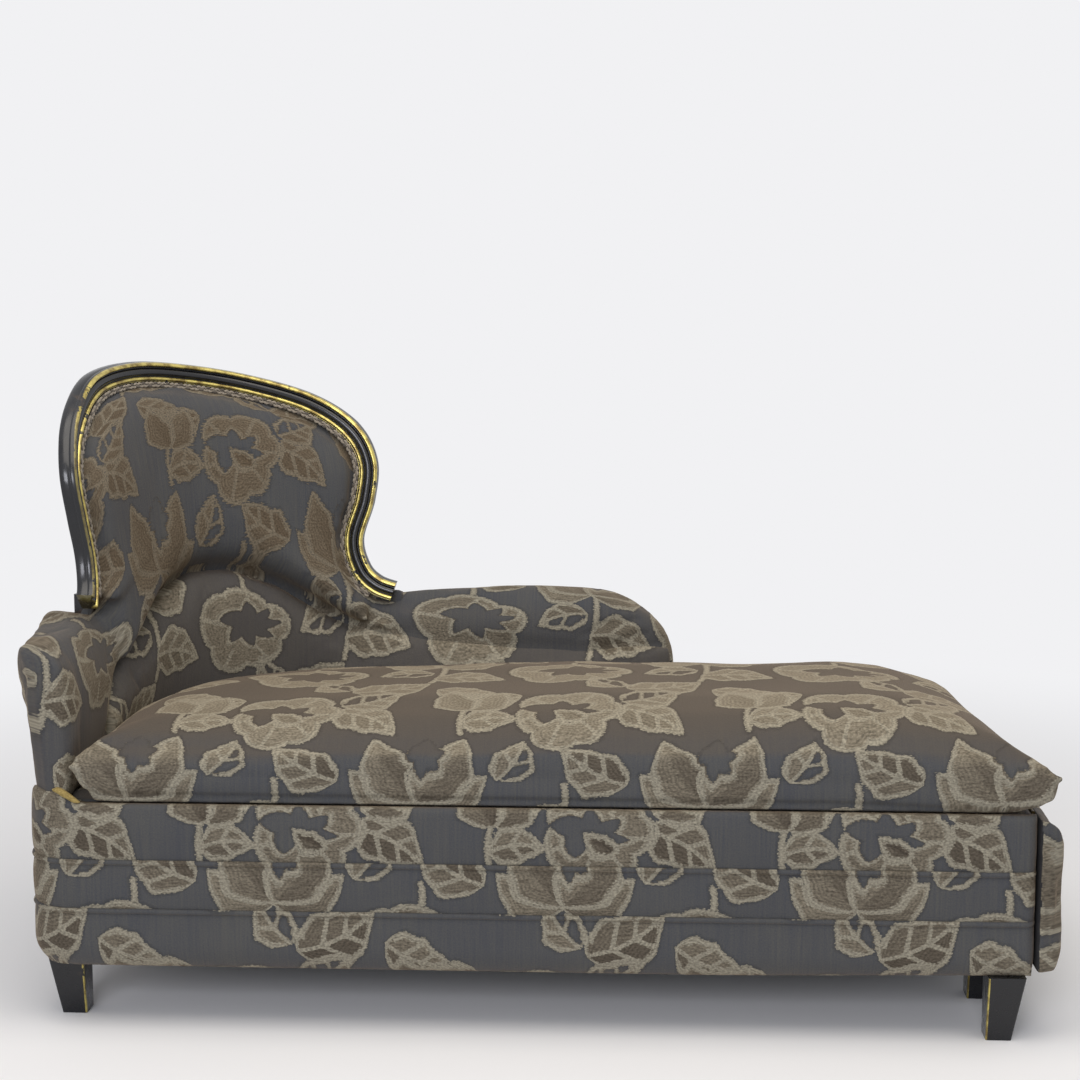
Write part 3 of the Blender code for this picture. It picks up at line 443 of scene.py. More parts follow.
def jacquardMaterial(name):
    material, tree = newMaterial(name)
    at = addNode(tree, "ShaderNodeAttribute", attribute_name="clothAt")
    grains = []
    for across, up, detail in weave.values():
        spread = addNode(tree, "ShaderNodeMapping", {"Vector": (at, "Vector"), "Scale": (across, up, 1)})
        grains.append(addNode(tree, "ShaderNodeTexNoise", {
            "Vector": (spread, "Vector"), "Scale": 1.0, "Detail": detail}))
    ribs, lint, wear, comb, strokes, tufts = grains
    thread = addNode(tree, "ShaderNodeMath", {0: (ribs, "Fac"), 1: (lint, "Fac")}, operation="ADD")
    ribShade = addNode(tree, "ShaderNodeMapRange", {
        "Value": (thread, "Value"), "From Min": 0.7, "From Max": 1.3, "To Min": -0.12, "To Max": 0.50},
        clamp=False)
    wearShade = addNode(tree, "ShaderNodeMapRange", {
        "Value": (wear, "Fac"), "From Min": 0.35, "From Max": 0.75, "To Min": 0.0, "To Max": 0.35})
    both = addNode(tree, "ShaderNodeMath", {
        0: (ribShade, "Result"), 1: (wearShade, "Result")}, operation="ADD")
    worn = addNode(tree, "ShaderNodeMix", {
        0: (both, "Value"), 6: jacquard["ground"], 7: jacquard["groundWorn"]}, data_type="RGBA")
    place = addNode(tree, "ShaderNodeSeparateXYZ", {"Vector": (at, "Vector")})
    # painted light: where the third place is below 0 the ground is painted lighter and warmer, for top-facing
    # cloth and the lumbar roll
    paintedLitShare = addNode(tree, "ShaderNodeMapRange", {
        "Value": (place, "Z"), "From Min": -1.0, "From Max": 0.0, "To Min": 1.0, "To Max": 0.0})
    ground = addNode(tree, "ShaderNodeMix", {
        0: (paintedLitShare, "Result"), 6: (worn, 2), 7: jacquard["groundPaintedLit"]}, data_type="RGBA")
    motif = addNode(tree, "ShaderNodeAttribute", attribute_name="motif")
    part = addNode(tree, "ShaderNodeSeparateXYZ", {"Vector": (motif, "Vector")})
    # woven steps: every pick of weft starts a little to one side
    fineJag = addNode(tree, "ShaderNodeMath", {
        0: (comb, "Fac"), 1: 0.008, 2: -0.004}, operation="MULTIPLY_ADD")
    # on the worn back the weft floats are rubbed out into long strokes
    browned = addNode(tree, "ShaderNodeMapRange", {"Value": (place, "Z"), "To Max": 0.62})
    swing = addNode(tree, "ShaderNodeMath", {
        0: (strokes, "Fac"), 1: 0.030, 2: -0.015}, operation="MULTIPLY_ADD")
    jag = addNode(tree, "ShaderNodeMath", {
        0: (swing, "Value"), 1: (browned, "Result"), 2: (fineJag, "Value")}, operation="MULTIPLY_ADD")
    sway = addNode(tree, "ShaderNodeMath", {0: (comb, "Fac"), 1: 1.4, 2: -0.7}, operation="MULTIPLY_ADD")
    edge = addNode(tree, "ShaderNodeMath", {0: (part, "X"), 1: (jag, "Value")}, operation="ADD")
    line = addNode(tree, "ShaderNodeMath", {0: (part, "Y"), 1: (sway, "Value")}, operation="ADD")
    onMotif = addNode(tree, "ShaderNodeMapRange", {
        "Value": (edge, "Value"), "From Min": -0.0006, "From Max": 0.0006})
    onLine = addNode(tree, "ShaderNodeMapRange", {
        "Value": (line, "Value"), "From Min": 0.85, "From Max": 1.15, "To Min": 1.0, "To Max": 0.0})
    # painted shadow: the ground is darkened beside each motif's edge
    paintedEdgeShadow = addNode(tree, "ShaderNodeMapRange", {
        "Value": (edge, "Value"), "From Min": -0.006, "From Max": -0.001, "To Min": 1.0, "To Max": 0.72})
    shaded = addNode(tree, "ShaderNodeVectorMath", {0: (ground, 2), 3: (paintedEdgeShadow, "Result")}, operation="SCALE")
    # the tufts lie in courses that follow the motif's edge, 6 mm apart
    phase = addNode(tree, "ShaderNodeMath", {0: (strokes, "Fac"), 1: 7.0}, operation="MULTIPLY")
    course = addNode(tree, "ShaderNodeMath", {
        0: (part, "X"), 1: 1047.0, 2: (phase, "Value")}, operation="MULTIPLY_ADD")
    wave = addNode(tree, "ShaderNodeMath", {0: (course, "Value")}, operation="SINE")
    showThrough = addNode(tree, "ShaderNodeMapRange", {
        "Value": (strokes, "Fac"), "From Min": 0.48, "From Max": 0.64, "To Min": 0.0, "To Max": 0.55})
    filling = addNode(tree, "ShaderNodeValToRGB", {"Fac": (part, "Z")}, stops=[
        (0.0, jacquard["fillDark"]), (0.5, jacquard["fillMid"]), (0.85, jacquard["fillLight"])])
    scratched = addNode(tree, "ShaderNodeMix", {
        0: (showThrough, "Result"), 6: (filling, "Color"), 7: jacquard["fillDark"]}, data_type="RGBA")
    weft = addNode(tree, "ShaderNodeMix", {
        0: (onLine, "Result"), 6: (scratched, 2), 7: jacquard["outline"]}, data_type="RGBA")
    dulled = addNode(tree, "ShaderNodeMix", {
        0: (browned, "Result"), 6: (weft, 2), 7: jacquard["brown"]}, data_type="RGBA")
    # painted light: there the motifs are painted paler too
    paintedLitMotif = addNode(tree, "ShaderNodeMath", {0: (paintedLitShare, "Result"), 1: 0.38}, operation="MULTIPLY")
    aged = addNode(tree, "ShaderNodeMix", {
        0: (paintedLitMotif, "Value"), 6: (dulled, 2), 7: jacquard["paintedLitPale"]}, data_type="RGBA")
    speckle = addNode(tree, "ShaderNodeMapRange", {
        "Value": (tufts, "Fac"), "From Min": 0.3, "From Max": 0.7, "To Min": 0.62, "To Max": 1.30})
    mottle = addNode(tree, "ShaderNodeMath", {
        0: (wave, "Value"), 1: 0.14, 2: (speckle, "Result")}, operation="MULTIPLY_ADD")
    tufted = addNode(tree, "ShaderNodeVectorMath", {0: (aged, 2), 3: (mottle, "Value")}, operation="SCALE")
    colour = addNode(tree, "ShaderNodeMix", {
        0: (onMotif, "Result"), 6: (shaded, "Vector"), 7: (tufted, "Vector")}, data_type="RGBA")
    relief = addNode(tree, "ShaderNodeMath", {0: (tufts, "Fac"), 1: 1.2, 2: 0.8}, operation="MULTIPLY_ADD")
    raised = addNode(tree, "ShaderNodeMix", {
        0: (onMotif, "Result"), 2: (ribShade, "Result"), 3: (relief, "Value")})
    bump = addNode(tree, "ShaderNodeBump", {"Strength": 0.55, "Distance": 0.0012, "Height": (raised, 0)})
    shader = addNode(tree, "ShaderNodeBsdfPrincipled", {
        "Base Color": (colour, 2), "Roughness": 0.88, "Sheen Weight": 0.22, "Sheen Roughness": 0.45,
        "Sheen Tint": "#c9ad8c", "Specular IOR Level": 0.25, "Normal": (bump, "Normal")})
    addNode(tree, "ShaderNodeOutputMaterial", {"Surface": (shader, "BSDF")})
    return material


floral = jacquardMaterial("floralJacquard")
print("jacquard woven")


# Soft pieces: a source shape, rounded, remeshed, smoothed, filled and dressed
def roundOut(points, step):
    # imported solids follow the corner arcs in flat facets; this puts their points back on the arcs
    for cx, cy, sideY in (
        (cornerCentre.x, cornerCentre.y, 1),
        (outline["left"] + outline["frontRadius"], outline["front"] + outline["frontRadius"], -1),
    ):
        x = points[:, 0] - cx
        y = (points[:, 1] - cy) * sideY
        inCorner = (x < 0) & (y > 0)
        turn = np.arctan2(y, -x)
        within = turn % step - step / 2
        grow = np.where(inCorner, np.cos(within) / math.cos(step / 2), 1.0)
        points[:, 0] = cx + x * grow
        points[:, 1] = cy + y * sideY * grow
    return points


def evaluated(mesh, modifiers):
    # runs a short stack of modifiers on a mesh and returns the result as a new mesh
    thing = bpy.data.objects.new("working", mesh)
    scene.collection.objects.link(thing)
    for kind, settings in modifiers:
        modifier = thing.modifiers.new(kind, kind)
        for name, value in settings.items():
            setattr(modifier, name, value)
    graph = bpy.context.evaluated_depsgraph_get()
    result = bpy.data.meshes.new_from_object(thing.evaluated_get(graph))
    bpy.data.objects.remove(thing)
    return result


# the cover as a simulated cloth, without gravity, because the stuffing bears it
coverCloth = {
    "quality": 4, "mass": 0.3, "tension_stiffness": 12, "compression_stiffness": 12, "shear_stiffness": 6,
    "bending_stiffness": 0.8, "use_pressure": True, "vertex_group_mass": "held",
}


def fillPad(mesh, held, pressure, cap, frames=20):
    # cloth under pressure: the pad swells, by no more than the cap, and puckers where it is held down
    start = pointsOf(mesh)
    thing = bpy.data.objects.new("filling", mesh)
    scene.collection.objects.link(thing)
    group = thing.vertex_groups.new(name="held")
    group.add([int(index) for index in np.nonzero(held)[0]], 1.0, "REPLACE")
    modifier = thing.modifiers.new("cover", "CLOTH")
    settings = modifier.settings
    for name, value in coverCloth.items():
        setattr(settings, name, value)
    settings.uniform_pressure_force = pressure
    settings.effector_weights.gravity = 0
    modifier.collision_settings.use_collision = False
    modifier.point_cache.frame_start = 1
    modifier.point_cache.frame_end = frames
    for number in range(1, frames + 1):
        scene.frame_set(number)
    graph = bpy.context.evaluated_depsgraph_get()
    swollen = bpy.data.meshes.new_from_object(thing.evaluated_get(graph))
    move = pointsOf(swollen) - start
    length = np.linalg.norm(move, axis=1, keepdims=True)
    move = move * np.minimum(1.0, cap / np.maximum(length, 1e-9))
    bpy.data.objects.remove(thing)
    bpy.data.meshes.remove(swollen)
    scene.frame_set(1)
    setPoints(mesh, start + move)
    return mesh


def nodeCopy(bm, names, step=math.radians(7.5)):
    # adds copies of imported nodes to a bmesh, with their corner facets rounded out
    for name in names:
        mesh = nodes[name].data.copy()
        setPoints(mesh, roundOut(pointsOf(mesh), step))
        bm.from_mesh(mesh)
        bpy.data.meshes.remove(mesh)
    bmesh.ops.remove_doubles(bm, verts=bm.verts, dist=1e-5)


def padFrom(bm, voxel, smooth):
    mesh = meshFrom("padShape", bm)
    return evaluated(mesh, [
        ("REMESH", {"mode": "VOXEL", "voxel_size": voxel}),
        ("SMOOTH", {"factor": 0.5, "iterations": smooth}),
    ])


def refined(mesh):
    return evaluated(mesh, [("SUBSURF", {"levels": 1, "render_levels": 1})])


def ripple(points, wave, depth, seed):
    # gentle unevenness of hand stuffing, the same on every run
    offset = Vector((seed * 3.7, seed * 1.3, seed * 0.7))
    return np.array([noise.noise(Vector(p) / wave + offset) for p in points]) * depth


def smoothThrough(points, place):
    # a point on a smooth curve through the points; place counts points from the first
    last = len(points) - 1
    index = min(int(place), last - 1)
    part = place - index
    a, b, c, d = (Vector(points[min(max(index + k, 0), last)]) for k in (-1, 0, 1, 2))
    return 0.5 * (
        2 * b + (c - a) * part + (2 * a - 5 * b + 4 * c - d) * part ** 2 + (3 * b - a - 3 * c + d) * part ** 3
    )


def smoothRow(points, count):
    # evenly counted points on the smooth curve through a few
    return [smoothThrough(points, i / (count - 1) * (len(points) - 1)) for i in range(count)]


def between(table, value):
    return float(np.interp(value, [row[0] for row in table], [row[1] for row in table]))


def limited(value):
    return min(1.0, max(0.0, value))


def eased(value):
    # from 0 to 1 with a soft start and stop
    part = limited(value)
    return part * part * (3 - 2 * part)


def rising(values, start, over):
    # 0 up to the start, then evenly to 1
    return np.clip((values - start) / over, 0, 1)


def fading(values, over):
    # 1 at an edge, dying away behind it
    return np.exp(-np.maximum(values, 0) / over)


def banded(values, middle, wide):
    # 1 along a line, dying away to both sides
    return np.exp(-((values - middle) / wide) ** 2)


def ringSweep(columns, section, ring):
    # a closed tube of rings: ring(column, section point) places a section point of (reach, height)
    rows = len(section(0)) + 1

    def place(column, row):
        points = section(column)
        return ring(column, points[row % (rows - 1)])

    return gridSweep(columns, rows, place, True)


# Mattress: loose pillow top, pinched out to ears at its front corners
mattressLow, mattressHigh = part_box("mattress")
mattress = {
    "voxel": 0.0085, "smooth": 5, "facet": 11.25, "pressure": 4.0, "cap": 0.012, "held": 0.006, "fill": 0.7,
    "ridge": 0.462, "shift": (0.05, 0.16), "rippleWide": 0.16, "rippleDeep": 0.005,
    "rippleFrom": 0.42, "rippleOver": 0.05,
    # the filling thins out towards the foot end
    "thinOver": 0.30, "thinnest": 0.1,
    # how far the filling has shifted up or down along the length, above a level
    "settledFrom": 0.40, "settledOver": 0.06,
    "settled": [
        (-0.72, -0.014), (-0.60, -0.014), (-0.40, -0.012), (-0.15, -0.003), (0.10, 0.004), (0.45, 0.005),
        (0.55, 0.009), (0.62, 0.010), (0.68, 0.005), (0.74, 0.003), (0.80, -0.003)],
    # each ear's place along the front and how far it is drawn along, forward and up
    "ears": [(mattressLow.x, 0.024, 0.004, 0.006), (mattressHigh.x, 0.008, 0.004, 0.010)],
    "earReach": 0.110, "earLevel": 0.412,
    "footSkew": 0.070, "skewFrom": 0.42, "skewOver": 0.38,
    # lower front edge
    "edge": 0.75, "edgeDeep": 0.09, "edgeTop": 0.405, "edgeHigh": 0.045, "edgeFrom": -0.745, "edgeOver": 0.05,
    "forward": 0.010, "forwardOver": 0.02, "hang": 0.012, "hangOver": 0.012, "hangFrom": 0.006,
    "plump": 0.018, "plumpLevel": 0.390, "plumpHigh": 0.015, "plumpOver": 0.03,
    # fine pull creases down the front
    "creases": 13, "creaseFrom": -0.64, "creaseStep": 0.113, "creaseStray": 0.03, "creaseWide": 0.0045,
    "creaseDeep": 0.0024, "creaseOver": 0.05,
}


def mattressCloth(points):
    # the cloth lies flat on top and turns down each side from the ridge
    x, y, z = points.T
    drop = np.maximum(0, mattress["ridge"] - z)
    sides = np.stack([y - outline["front"], mattressHigh.x - x, mattressHigh.y - y, x - mattressLow.x])
    nearest = np.argmin(sides, axis=0)
    u = x + drop * ((nearest == 1) * 1.0 - (nearest == 3) * 1.0)
    v = y + drop * ((nearest == 2) * 1.0 - (nearest == 0) * 1.0)
    return u, v


def buildMattress():
    bm = bmesh.new()
    nodeCopy(bm, ["mattress"], math.radians(mattress["facet"]))
    mesh = padFrom(bm, mattress["voxel"], mattress["smooth"])
    slack = pointsOf(mesh)
    held = slack[:, 2] < mattressLow.z + mattress["held"]
    mesh = fillPad(mesh, held, mattress["pressure"], mattress["cap"])
    full = np.clip((mattressHigh.x - slack[:, 0]) / mattress["thinOver"], mattress["thinnest"], 1)[:, None]
    points = slack + (pointsOf(mesh) - slack) * full
    x, y, z = points.T
    settled = np.interp(x, *np.array(mattress["settled"]).T)
    z += settled * rising(z, mattress["settledFrom"], mattress["settledOver"])
    for cornerX, pulled, forward, lifted in mattress["ears"]:
        corner = np.array((cornerX, mattressLow.y, mattress["earLevel"]))
        near = np.linalg.norm((points - corner) * (1, 1, 1.2), axis=1) / mattress["earReach"]
        pull = np.clip(1 - near, 0, 1) ** 2
        x += pull * pulled
        y -= pull * forward
        z += pull * lifted
    # the foot end draws in towards the rear
    deep = rising(y, mattressLow.y, mattressHigh.y - mattressLow.y)
    x -= mattress["footSkew"] * deep * rising(x, mattress["skewFrom"], mattress["skewOver"]) ** 2
    # the lower front edge is full and hangs a little over the base
    low = rising(-z, -mattress["edgeTop"], mattress["edgeHigh"])
    low *= rising(x, mattress["edgeFrom"], mattress["edgeOver"])
    behind = y - mattressLow.y
    behind *= 1 - mattress["edge"] * low * (1 - rising(behind, 0, mattress["edgeDeep"]))
    forward = mattress["forward"] * np.sqrt(low) * fading(behind, mattress["forwardOver"])
    y[:] = mattressLow.y + behind - forward
    z -= mattress["hang"] * low * fading(behind, mattress["hangOver"])
    # below the foot's ear the end is plump
    footEdge = mattressHigh.x - mattress["footSkew"] * deep - x
    plump = banded(z, mattress["plumpLevel"], mattress["plumpHigh"]) * fading(footEdge, mattress["plumpOver"])
    x += mattress["plump"] * plump
    front = fading(y - mattressLow.y, mattress["creaseOver"])
    for number in range(mattress["creases"]):
        crease = mattress["creaseFrom"] + mattress["creaseStep"] * number
        crease += mattress["creaseStray"] * math.sin(2.3 * number)
        y += mattress["creaseDeep"] * front * banded(x, crease, mattress["creaseWide"])
    uneven = ripple(points, mattress["rippleWide"], mattress["rippleDeep"], 1)
    z += uneven * rising(z, mattress["rippleFrom"], mattress["rippleOver"])
    over = rising(-y, -outline["front"] - mattress["hangFrom"], mattress["hangFrom"])
    z[:] = np.maximum(z, mattressLow.z - mattress["hang"] * over)
    setPoints(mesh, points)
    mesh = refined(mesh)
    u, v = mattressCloth(pointsOf(mesh))
    # painted light: the top of the mattress is painted lighter and warmer
    dress(mesh, u + mattress["shift"][0], v + mattress["shift"][1], paintedTopLight=1.0)
    thing = newPiece("mattressPad", mesh, [floral], "loose_mattress", ["mattress"])


# Arms, lumbar roll, inside of the back and outside of the corner
arms = {
    "voxel": 0.0065, "overhang": 0.032, "inner": 0.082, "top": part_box("rear_arm_pad")[1].z,
    "wide": 0.112, "roll": 0.080, "middle": -0.043, "tip": 0.30, "fill": 0.8, "pressure": 3.0, "cap": 0.006,
    "tacked": 0.010, "railNear": -0.060, "railFar": -0.020, "railTop": 0.56,
    "shift": (0.04, 0.13), "spacing": 0.012, "endRings": 12, "endSquare": 0.72,
    # the head arm's lean: where it sets in, and what it takes off the roll and, below a height, off the foot
    "leanFrom": -0.30, "leanOver": 0.14, "leanRoll": 0.62, "leanFoot": 0.012, "footTop": 0.52,
    "footHigh": 0.10,
}
backRake = 0.14
padBottom = baseTop + 0.0005
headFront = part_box("head_arm_pad")[0].y - cornerCentre.y - backHalfArc
headTip = outline["front"] + 0.020 - cornerCentre.y - backHalfArc
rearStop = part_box("rear_arm_pad")[1].x - cornerCentre.x + backHalfArc
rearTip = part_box("rear_arm_facing")[1].x - cornerCentre.x + backHalfArc


def armSection(top, steps=56):
    # outside of an arm from the base up over its roll and down the inside
    roll, over, inner = arms["roll"], arms["overhang"], arms["inner"]
    points = [
        (-0.034, padBottom - 0.030), (-0.018, padBottom - 0.030), (-0.011, padBottom - 0.004),
        (-0.004, padBottom + 0.035), (0.003, padBottom + 0.090),
        (over * 0.40, top - roll * 0.98), (over * 0.74, top - roll * 0.60), (over * 0.84, top - roll * 0.24),
        (over * 0.80, top + roll * 0.03), (-inner * 0.26, top), (-inner * 0.68, top - roll * 0.05),
        (-inner * 0.95, top - roll * 0.34), (-inner - 0.005, top - roll * 0.78),
        (-inner - 0.006, top - roll * 1.2), (-inner - 0.003, padBottom + 0.060),
        (-inner, padBottom + 0.002), (-inner + 0.03, padBottom),
    ]
    return smoothRow(points, steps)


def armColumns(start, stop, tip, spacing):
    # distances along the back with their share of the rounded end: 0 on the arm, 1 at the tip
    straight = max(2, round(abs(stop - start) / spacing))
    columns = [(start + (stop - start) * i / straight, 0.0) for i in range(straight)]
    for i in range(arms["endRings"] + 1):
        share = math.sin(math.pi / 2 * i / arms["endRings"])
        columns.append((stop + (tip - stop) * share, share))
    return columns


def fullness(share):
    return math.sqrt(max(0.0, 1 - share * share))


def narrowed(reach, share):
    # towards a rounded end a section closes in on its middle
    return arms["middle"] + (reach - arms["middle"]) * max(arms["tip"], fullness(share))


def standing(along, reach, height):
    # a point by its distance along the back, its depth outward and its height
    flat = outlinePoint(backRun(along), reach)
    return Vector((flat.x, flat.y, height))


def leaned(reach, height):
    # how far the head arm's full lean takes a section point in
    low = limited((arms["footTop"] - height) / arms["footHigh"])
    return arms["leanRoll"] * max(0.0, reach) + arms["leanFoot"] * low * max(0.0, 1 + reach / arms["inner"])


def armSource(start, stop, tip, endDrop, dip):
    columns = armColumns(start, stop, tip, arms["spacing"])
    sections = []
    for along, share in columns:
        sections.append(armSection(arms["top"] - endDrop * (1 - fullness(share)) - between(dip, along)))

    def ring(column, point):
        along, share = columns[column]
        if backRun(along) < headStart:
            # the front is upholstered square across, its outer edge rounded like the base's corner
            y = cornerCentre.y + along + backHalfArc
            radius = outline["frontRadius"]
            bend = max(0.0, radius - (y - outline["front"]))
            corner = math.sqrt(max(0.0, radius * radius - bend * bend)) - radius
            full = max(0.0, 1 - share ** 4) ** 0.25
            inner = -arms["inner"]
            outer = point.x - leaned(point.x, point.y)
            reach = inner + (outer - inner) * (corner - inner) / -inner
            return outline["left"] - inner + (inner - reach) * max(arms["endSquare"], full), y, point.y
        reach = narrowed(point.x, share)
        # the head arm leans in a little towards its front
        reach -= limited((arms["leanFrom"] - along) / arms["leanOver"]) * leaned(reach, point.y)
        return standing(along, reach, point.y)

    return ringSweep(len(columns), lambda column: sections[column], ring)


# where the cloth bends on the inside of the arms and on the back pad
bends = {"inside": -0.080, "over": 0.05, "crown": 0.125, "half": 0.28, "topFrom": 0.84, "topOver": 0.10}


def armCloth(points, facing):
    # up the inside of an arm and over its roll; facing turns the cloth round the arm's end
    along, reach = alongBack(points)
    z = points[:, 2]
    upright = reach - backRake * np.maximum(0, z - arms["top"])
    rise = np.clip(upright + arms["inner"], bends["inside"], arms["wide"])
    v = z + (1 - np.abs(facing)) * rise
    u = along + facing * (reach + arms["inner"])
    # on the back the cloth follows the pad's flanks out to the frame
    flank = rising(z, arms["top"], bends["over"]) * (upright + bends["crown"])
    u += flank * np.clip(along / bends["half"], -1, 1)
    v += flank * rising(z, bends["topFrom"], bends["topOver"])
    return u, v


def addSource(bm, source):
    mesh = meshFrom("source", source)
    bm.from_mesh(mesh)
    bpy.data.meshes.remove(mesh)


def outwardAt(points):
    # the way outward from the base outline at each point
    x = points[:, 0] - cornerCentre.x
    y = points[:, 1] - cornerCentre.y
    far = np.maximum(np.hypot(x, y), 1e-6)
    out = np.stack([x / far, y / far, np.zeros(len(x))], axis=1)
    out[y < 0] = (-1, 0, 0)
    out[(x > 0) & (y >= 0)] = (0, 1, 0)
    return out


def softPiece(name, bm, replaced, smooth, clothAt, held=None, shape=None, brown=None, paintedTopLight=0.0):
    mesh = padFrom(bm, arms["voxel"], smooth)
    if held:
        mesh = fillPad(mesh, held(pointsOf(mesh)), arms["pressure"], arms["cap"])
    if shape:
        setPoints(mesh, shape(pointsOf(mesh)))
    mesh = refined(mesh)
    points = pointsOf(mesh)
    u, v = clothAt(points)
    # the brown shade carries browning, and below 0 painted light; the last argument is painted light on
    # top-facing cloth
    dress(mesh, u, v, brown(points) if brown else 0.0, paintedTopLight)
    thing = newPiece(name, mesh, [floral], "base", replaced)


def heldBelow(points):
    # tacked down along the base and to the hidden rails
    reach = alongBack(points)[1]
    onRail = (reach > arms["railNear"]) & (reach < arms["railFar"]) & (points[:, 2] < arms["railTop"])
    return onRail | (points[:, 2] < padBottom + arms["tacked"])


# height of the crease over the lumbar roll along the back
creaseLine = [
    (-0.340, 0.455), (-0.300, 0.495), (-0.258, 0.531), (-0.175, 0.578), (-0.105, 0.619), (-0.030, 0.647),
    (0.067, 0.646), (0.159, 0.614), (0.242, 0.569), (0.300, 0.540), (0.442, 0.518), (0.621, 0.505),
    (0.920, 0.497),
]


def lumbarSource():
    columns = armColumns(start=-0.335, stop=rearTip - 0.130, tip=rearTip - 0.010, spacing=0.010)

    def section(column):
        top = between(creaseLine, columns[column][0])
        height = top - padBottom
        points = [
            (-0.052, padBottom), (-0.052, padBottom + height * 0.5), (-0.054, top - 0.004), (-0.068, top),
            (-0.086, top - 0.002), (-0.099, top - 0.012), (-0.106, top - 0.034),
            (-0.106, padBottom + height * 0.66), (-0.098, padBottom + height * 0.38),
            (-0.087, padBottom + height * 0.14), (-0.083, padBottom), (-0.066, padBottom),
        ]
        return smoothRow(points, 40)

    def ring(column, point):
        along, share = columns[column]
        return standing(along, narrowed(point.x, share), point.y)

    return ringSweep(len(columns), section, ring)


def tuckSource():
    # the cover runs on behind the lumbar roll, so the crease closes all along
    columns = np.linspace(-0.315, 0.430, 61)

    def section(column):
        crease = between(creaseLine, columns[column])
        low, high = crease - 0.060, crease + 0.050
        middle = (low + high) / 2
        return [
            (-0.050, low), (-0.050, middle), (-0.052, high), (-0.070, high), (-0.086, high - 0.008),
            (-0.084, middle), (-0.082, low), (-0.066, low),
        ]

    def ring(column, point):
        return standing(columns[column], *point)

    return ringSweep(len(columns), section, ring)


def cornerSource():
    # outside of the corner: over the rail behind the frame's waist, down to the arms' height at either side
    columns = np.linspace(-0.312, 0.400, 71)

    def section(column):
        top = arms["top"] - 0.004 + 0.058 * eased((0.345 - abs(columns[column])) / 0.060)
        roll = arms["top"] - 0.012
        points = [
            (-0.028, padBottom - 0.010), (-0.002, padBottom - 0.010), (0.008, padBottom + 0.060),
            (0.013, roll - 0.090), (0.016, roll - 0.050), (0.008, roll - 0.018), (-0.012, roll),
            (-0.030, roll + (top - roll) * 0.35), (-0.042, roll + (top - roll) * 0.8), (-0.050, top),
            (-0.058, top - 0.006), (-0.056, top - 0.040), (-0.040, roll - 0.040),
        ]
        return smoothRow(points, 36)

    def ring(column, point):
        return standing(columns[column], point.x, point.y)

    return ringSweep(len(columns), section, ring)


# shade of the cover: browned above a height; painted light on top, where the cloth is painted lighter, and
# the lumbar roll painted paler as painted light
coverBrownAndPaintedLight = {"brownFrom": 0.56, "brownOver": 0.10, "lowest": -0.12, "rubbed": -0.50, "paintedTopLight": 0.25}
# how deep the crease draws the cover in, along the back
creaseDepth = [(-0.36, 0.0), (-0.28, 0.008), (-0.20, 0.024), (0.10, 0.024), (0.34, 0.012), (0.60, 0.007)]
# how far each arm's top lies below the arms' height, along the back
headDip = [(-0.54, 0.0), (-0.44, 0.001), (-0.37, -0.005), (-0.285, -0.018)]
rearDip = [(0.33, 0.022), (0.40, 0.015), (0.50, 0.007), (0.62, 0.003)]


def insideCloth(points):
    along = alongBack(points)[0]
    facing = rising(along, rearStop + 0.03, 0.070) - rising(-along, -headFront - 0.014, 0.030)
    u, v = armCloth(points, facing)
    return u + arms["shift"][0], v + arms["shift"][1]


def flatCloth(points):
    return alongBack(points)[0] + arms["shift"][0], points[:, 2] + arms["shift"][1]


def creased(points):
    # the cover is drawn in above the lumbar roll
    along, reach = alongBack(points)
    above = points[:, 2] - np.interp(along, *np.array(creaseLine).T)
    pull = np.exp(-(np.maximum(above, 0) / 0.024) ** 1.5) * (above > -0.05) * (reach < -0.055)
    deep = np.interp(along, *np.array(creaseDepth).T)
    return points + outwardAt(points) * (pull * deep)[:, None]


def browning(points):
    brown = rising(points[:, 2], coverBrownAndPaintedLight["brownFrom"], coverBrownAndPaintedLight["brownOver"])
    return coverBrownAndPaintedLight["lowest"] + (1 - coverBrownAndPaintedLight["lowest"]) * brown


# painted light: the whole lumbar roll is painted paler, lifting it out of shade
def lumbarPaintedLight(points):
    return np.full(len(points), coverBrownAndPaintedLight["rubbed"])


def buildUpholstery():
    bm = bmesh.new()
    addSource(bm, armSource(start=-0.285, stop=headFront, tip=headTip, endDrop=0.020, dip=headDip))
    addSource(bm, armSource(
        start=0.335, stop=rearTip - 0.185, tip=rearTip - 0.004, endDrop=0.135, dip=rearDip))
    addSource(bm, tuckSource())
    nodeCopy(bm, ["back_pad"])
    inside = ["back_pad", "head_arm_pad", "head_arm_facing", "rear_arm_pad", "rear_arm_facing"]
    # painted light: the tops of the arms and back are painted a little lighter and warmer
    softPiece(
        "insideBackAndArms", bm, inside, 8, insideCloth, held=heldBelow, shape=creased, brown=browning,
        paintedTopLight=coverBrownAndPaintedLight["paintedTopLight"])
    softPiece("lumbarRoll", lumbarSource(), ["lumbar_pad"], 5, flatCloth, held=heldBelow, brown=lumbarPaintedLight)
    softPiece("outsideCorner", cornerSource(), ["outer_back_pad"], 4, flatCloth)
    print("back, lumbar and arms upholstered")


buildMattress()
print("mattress filled")
buildUpholstery()


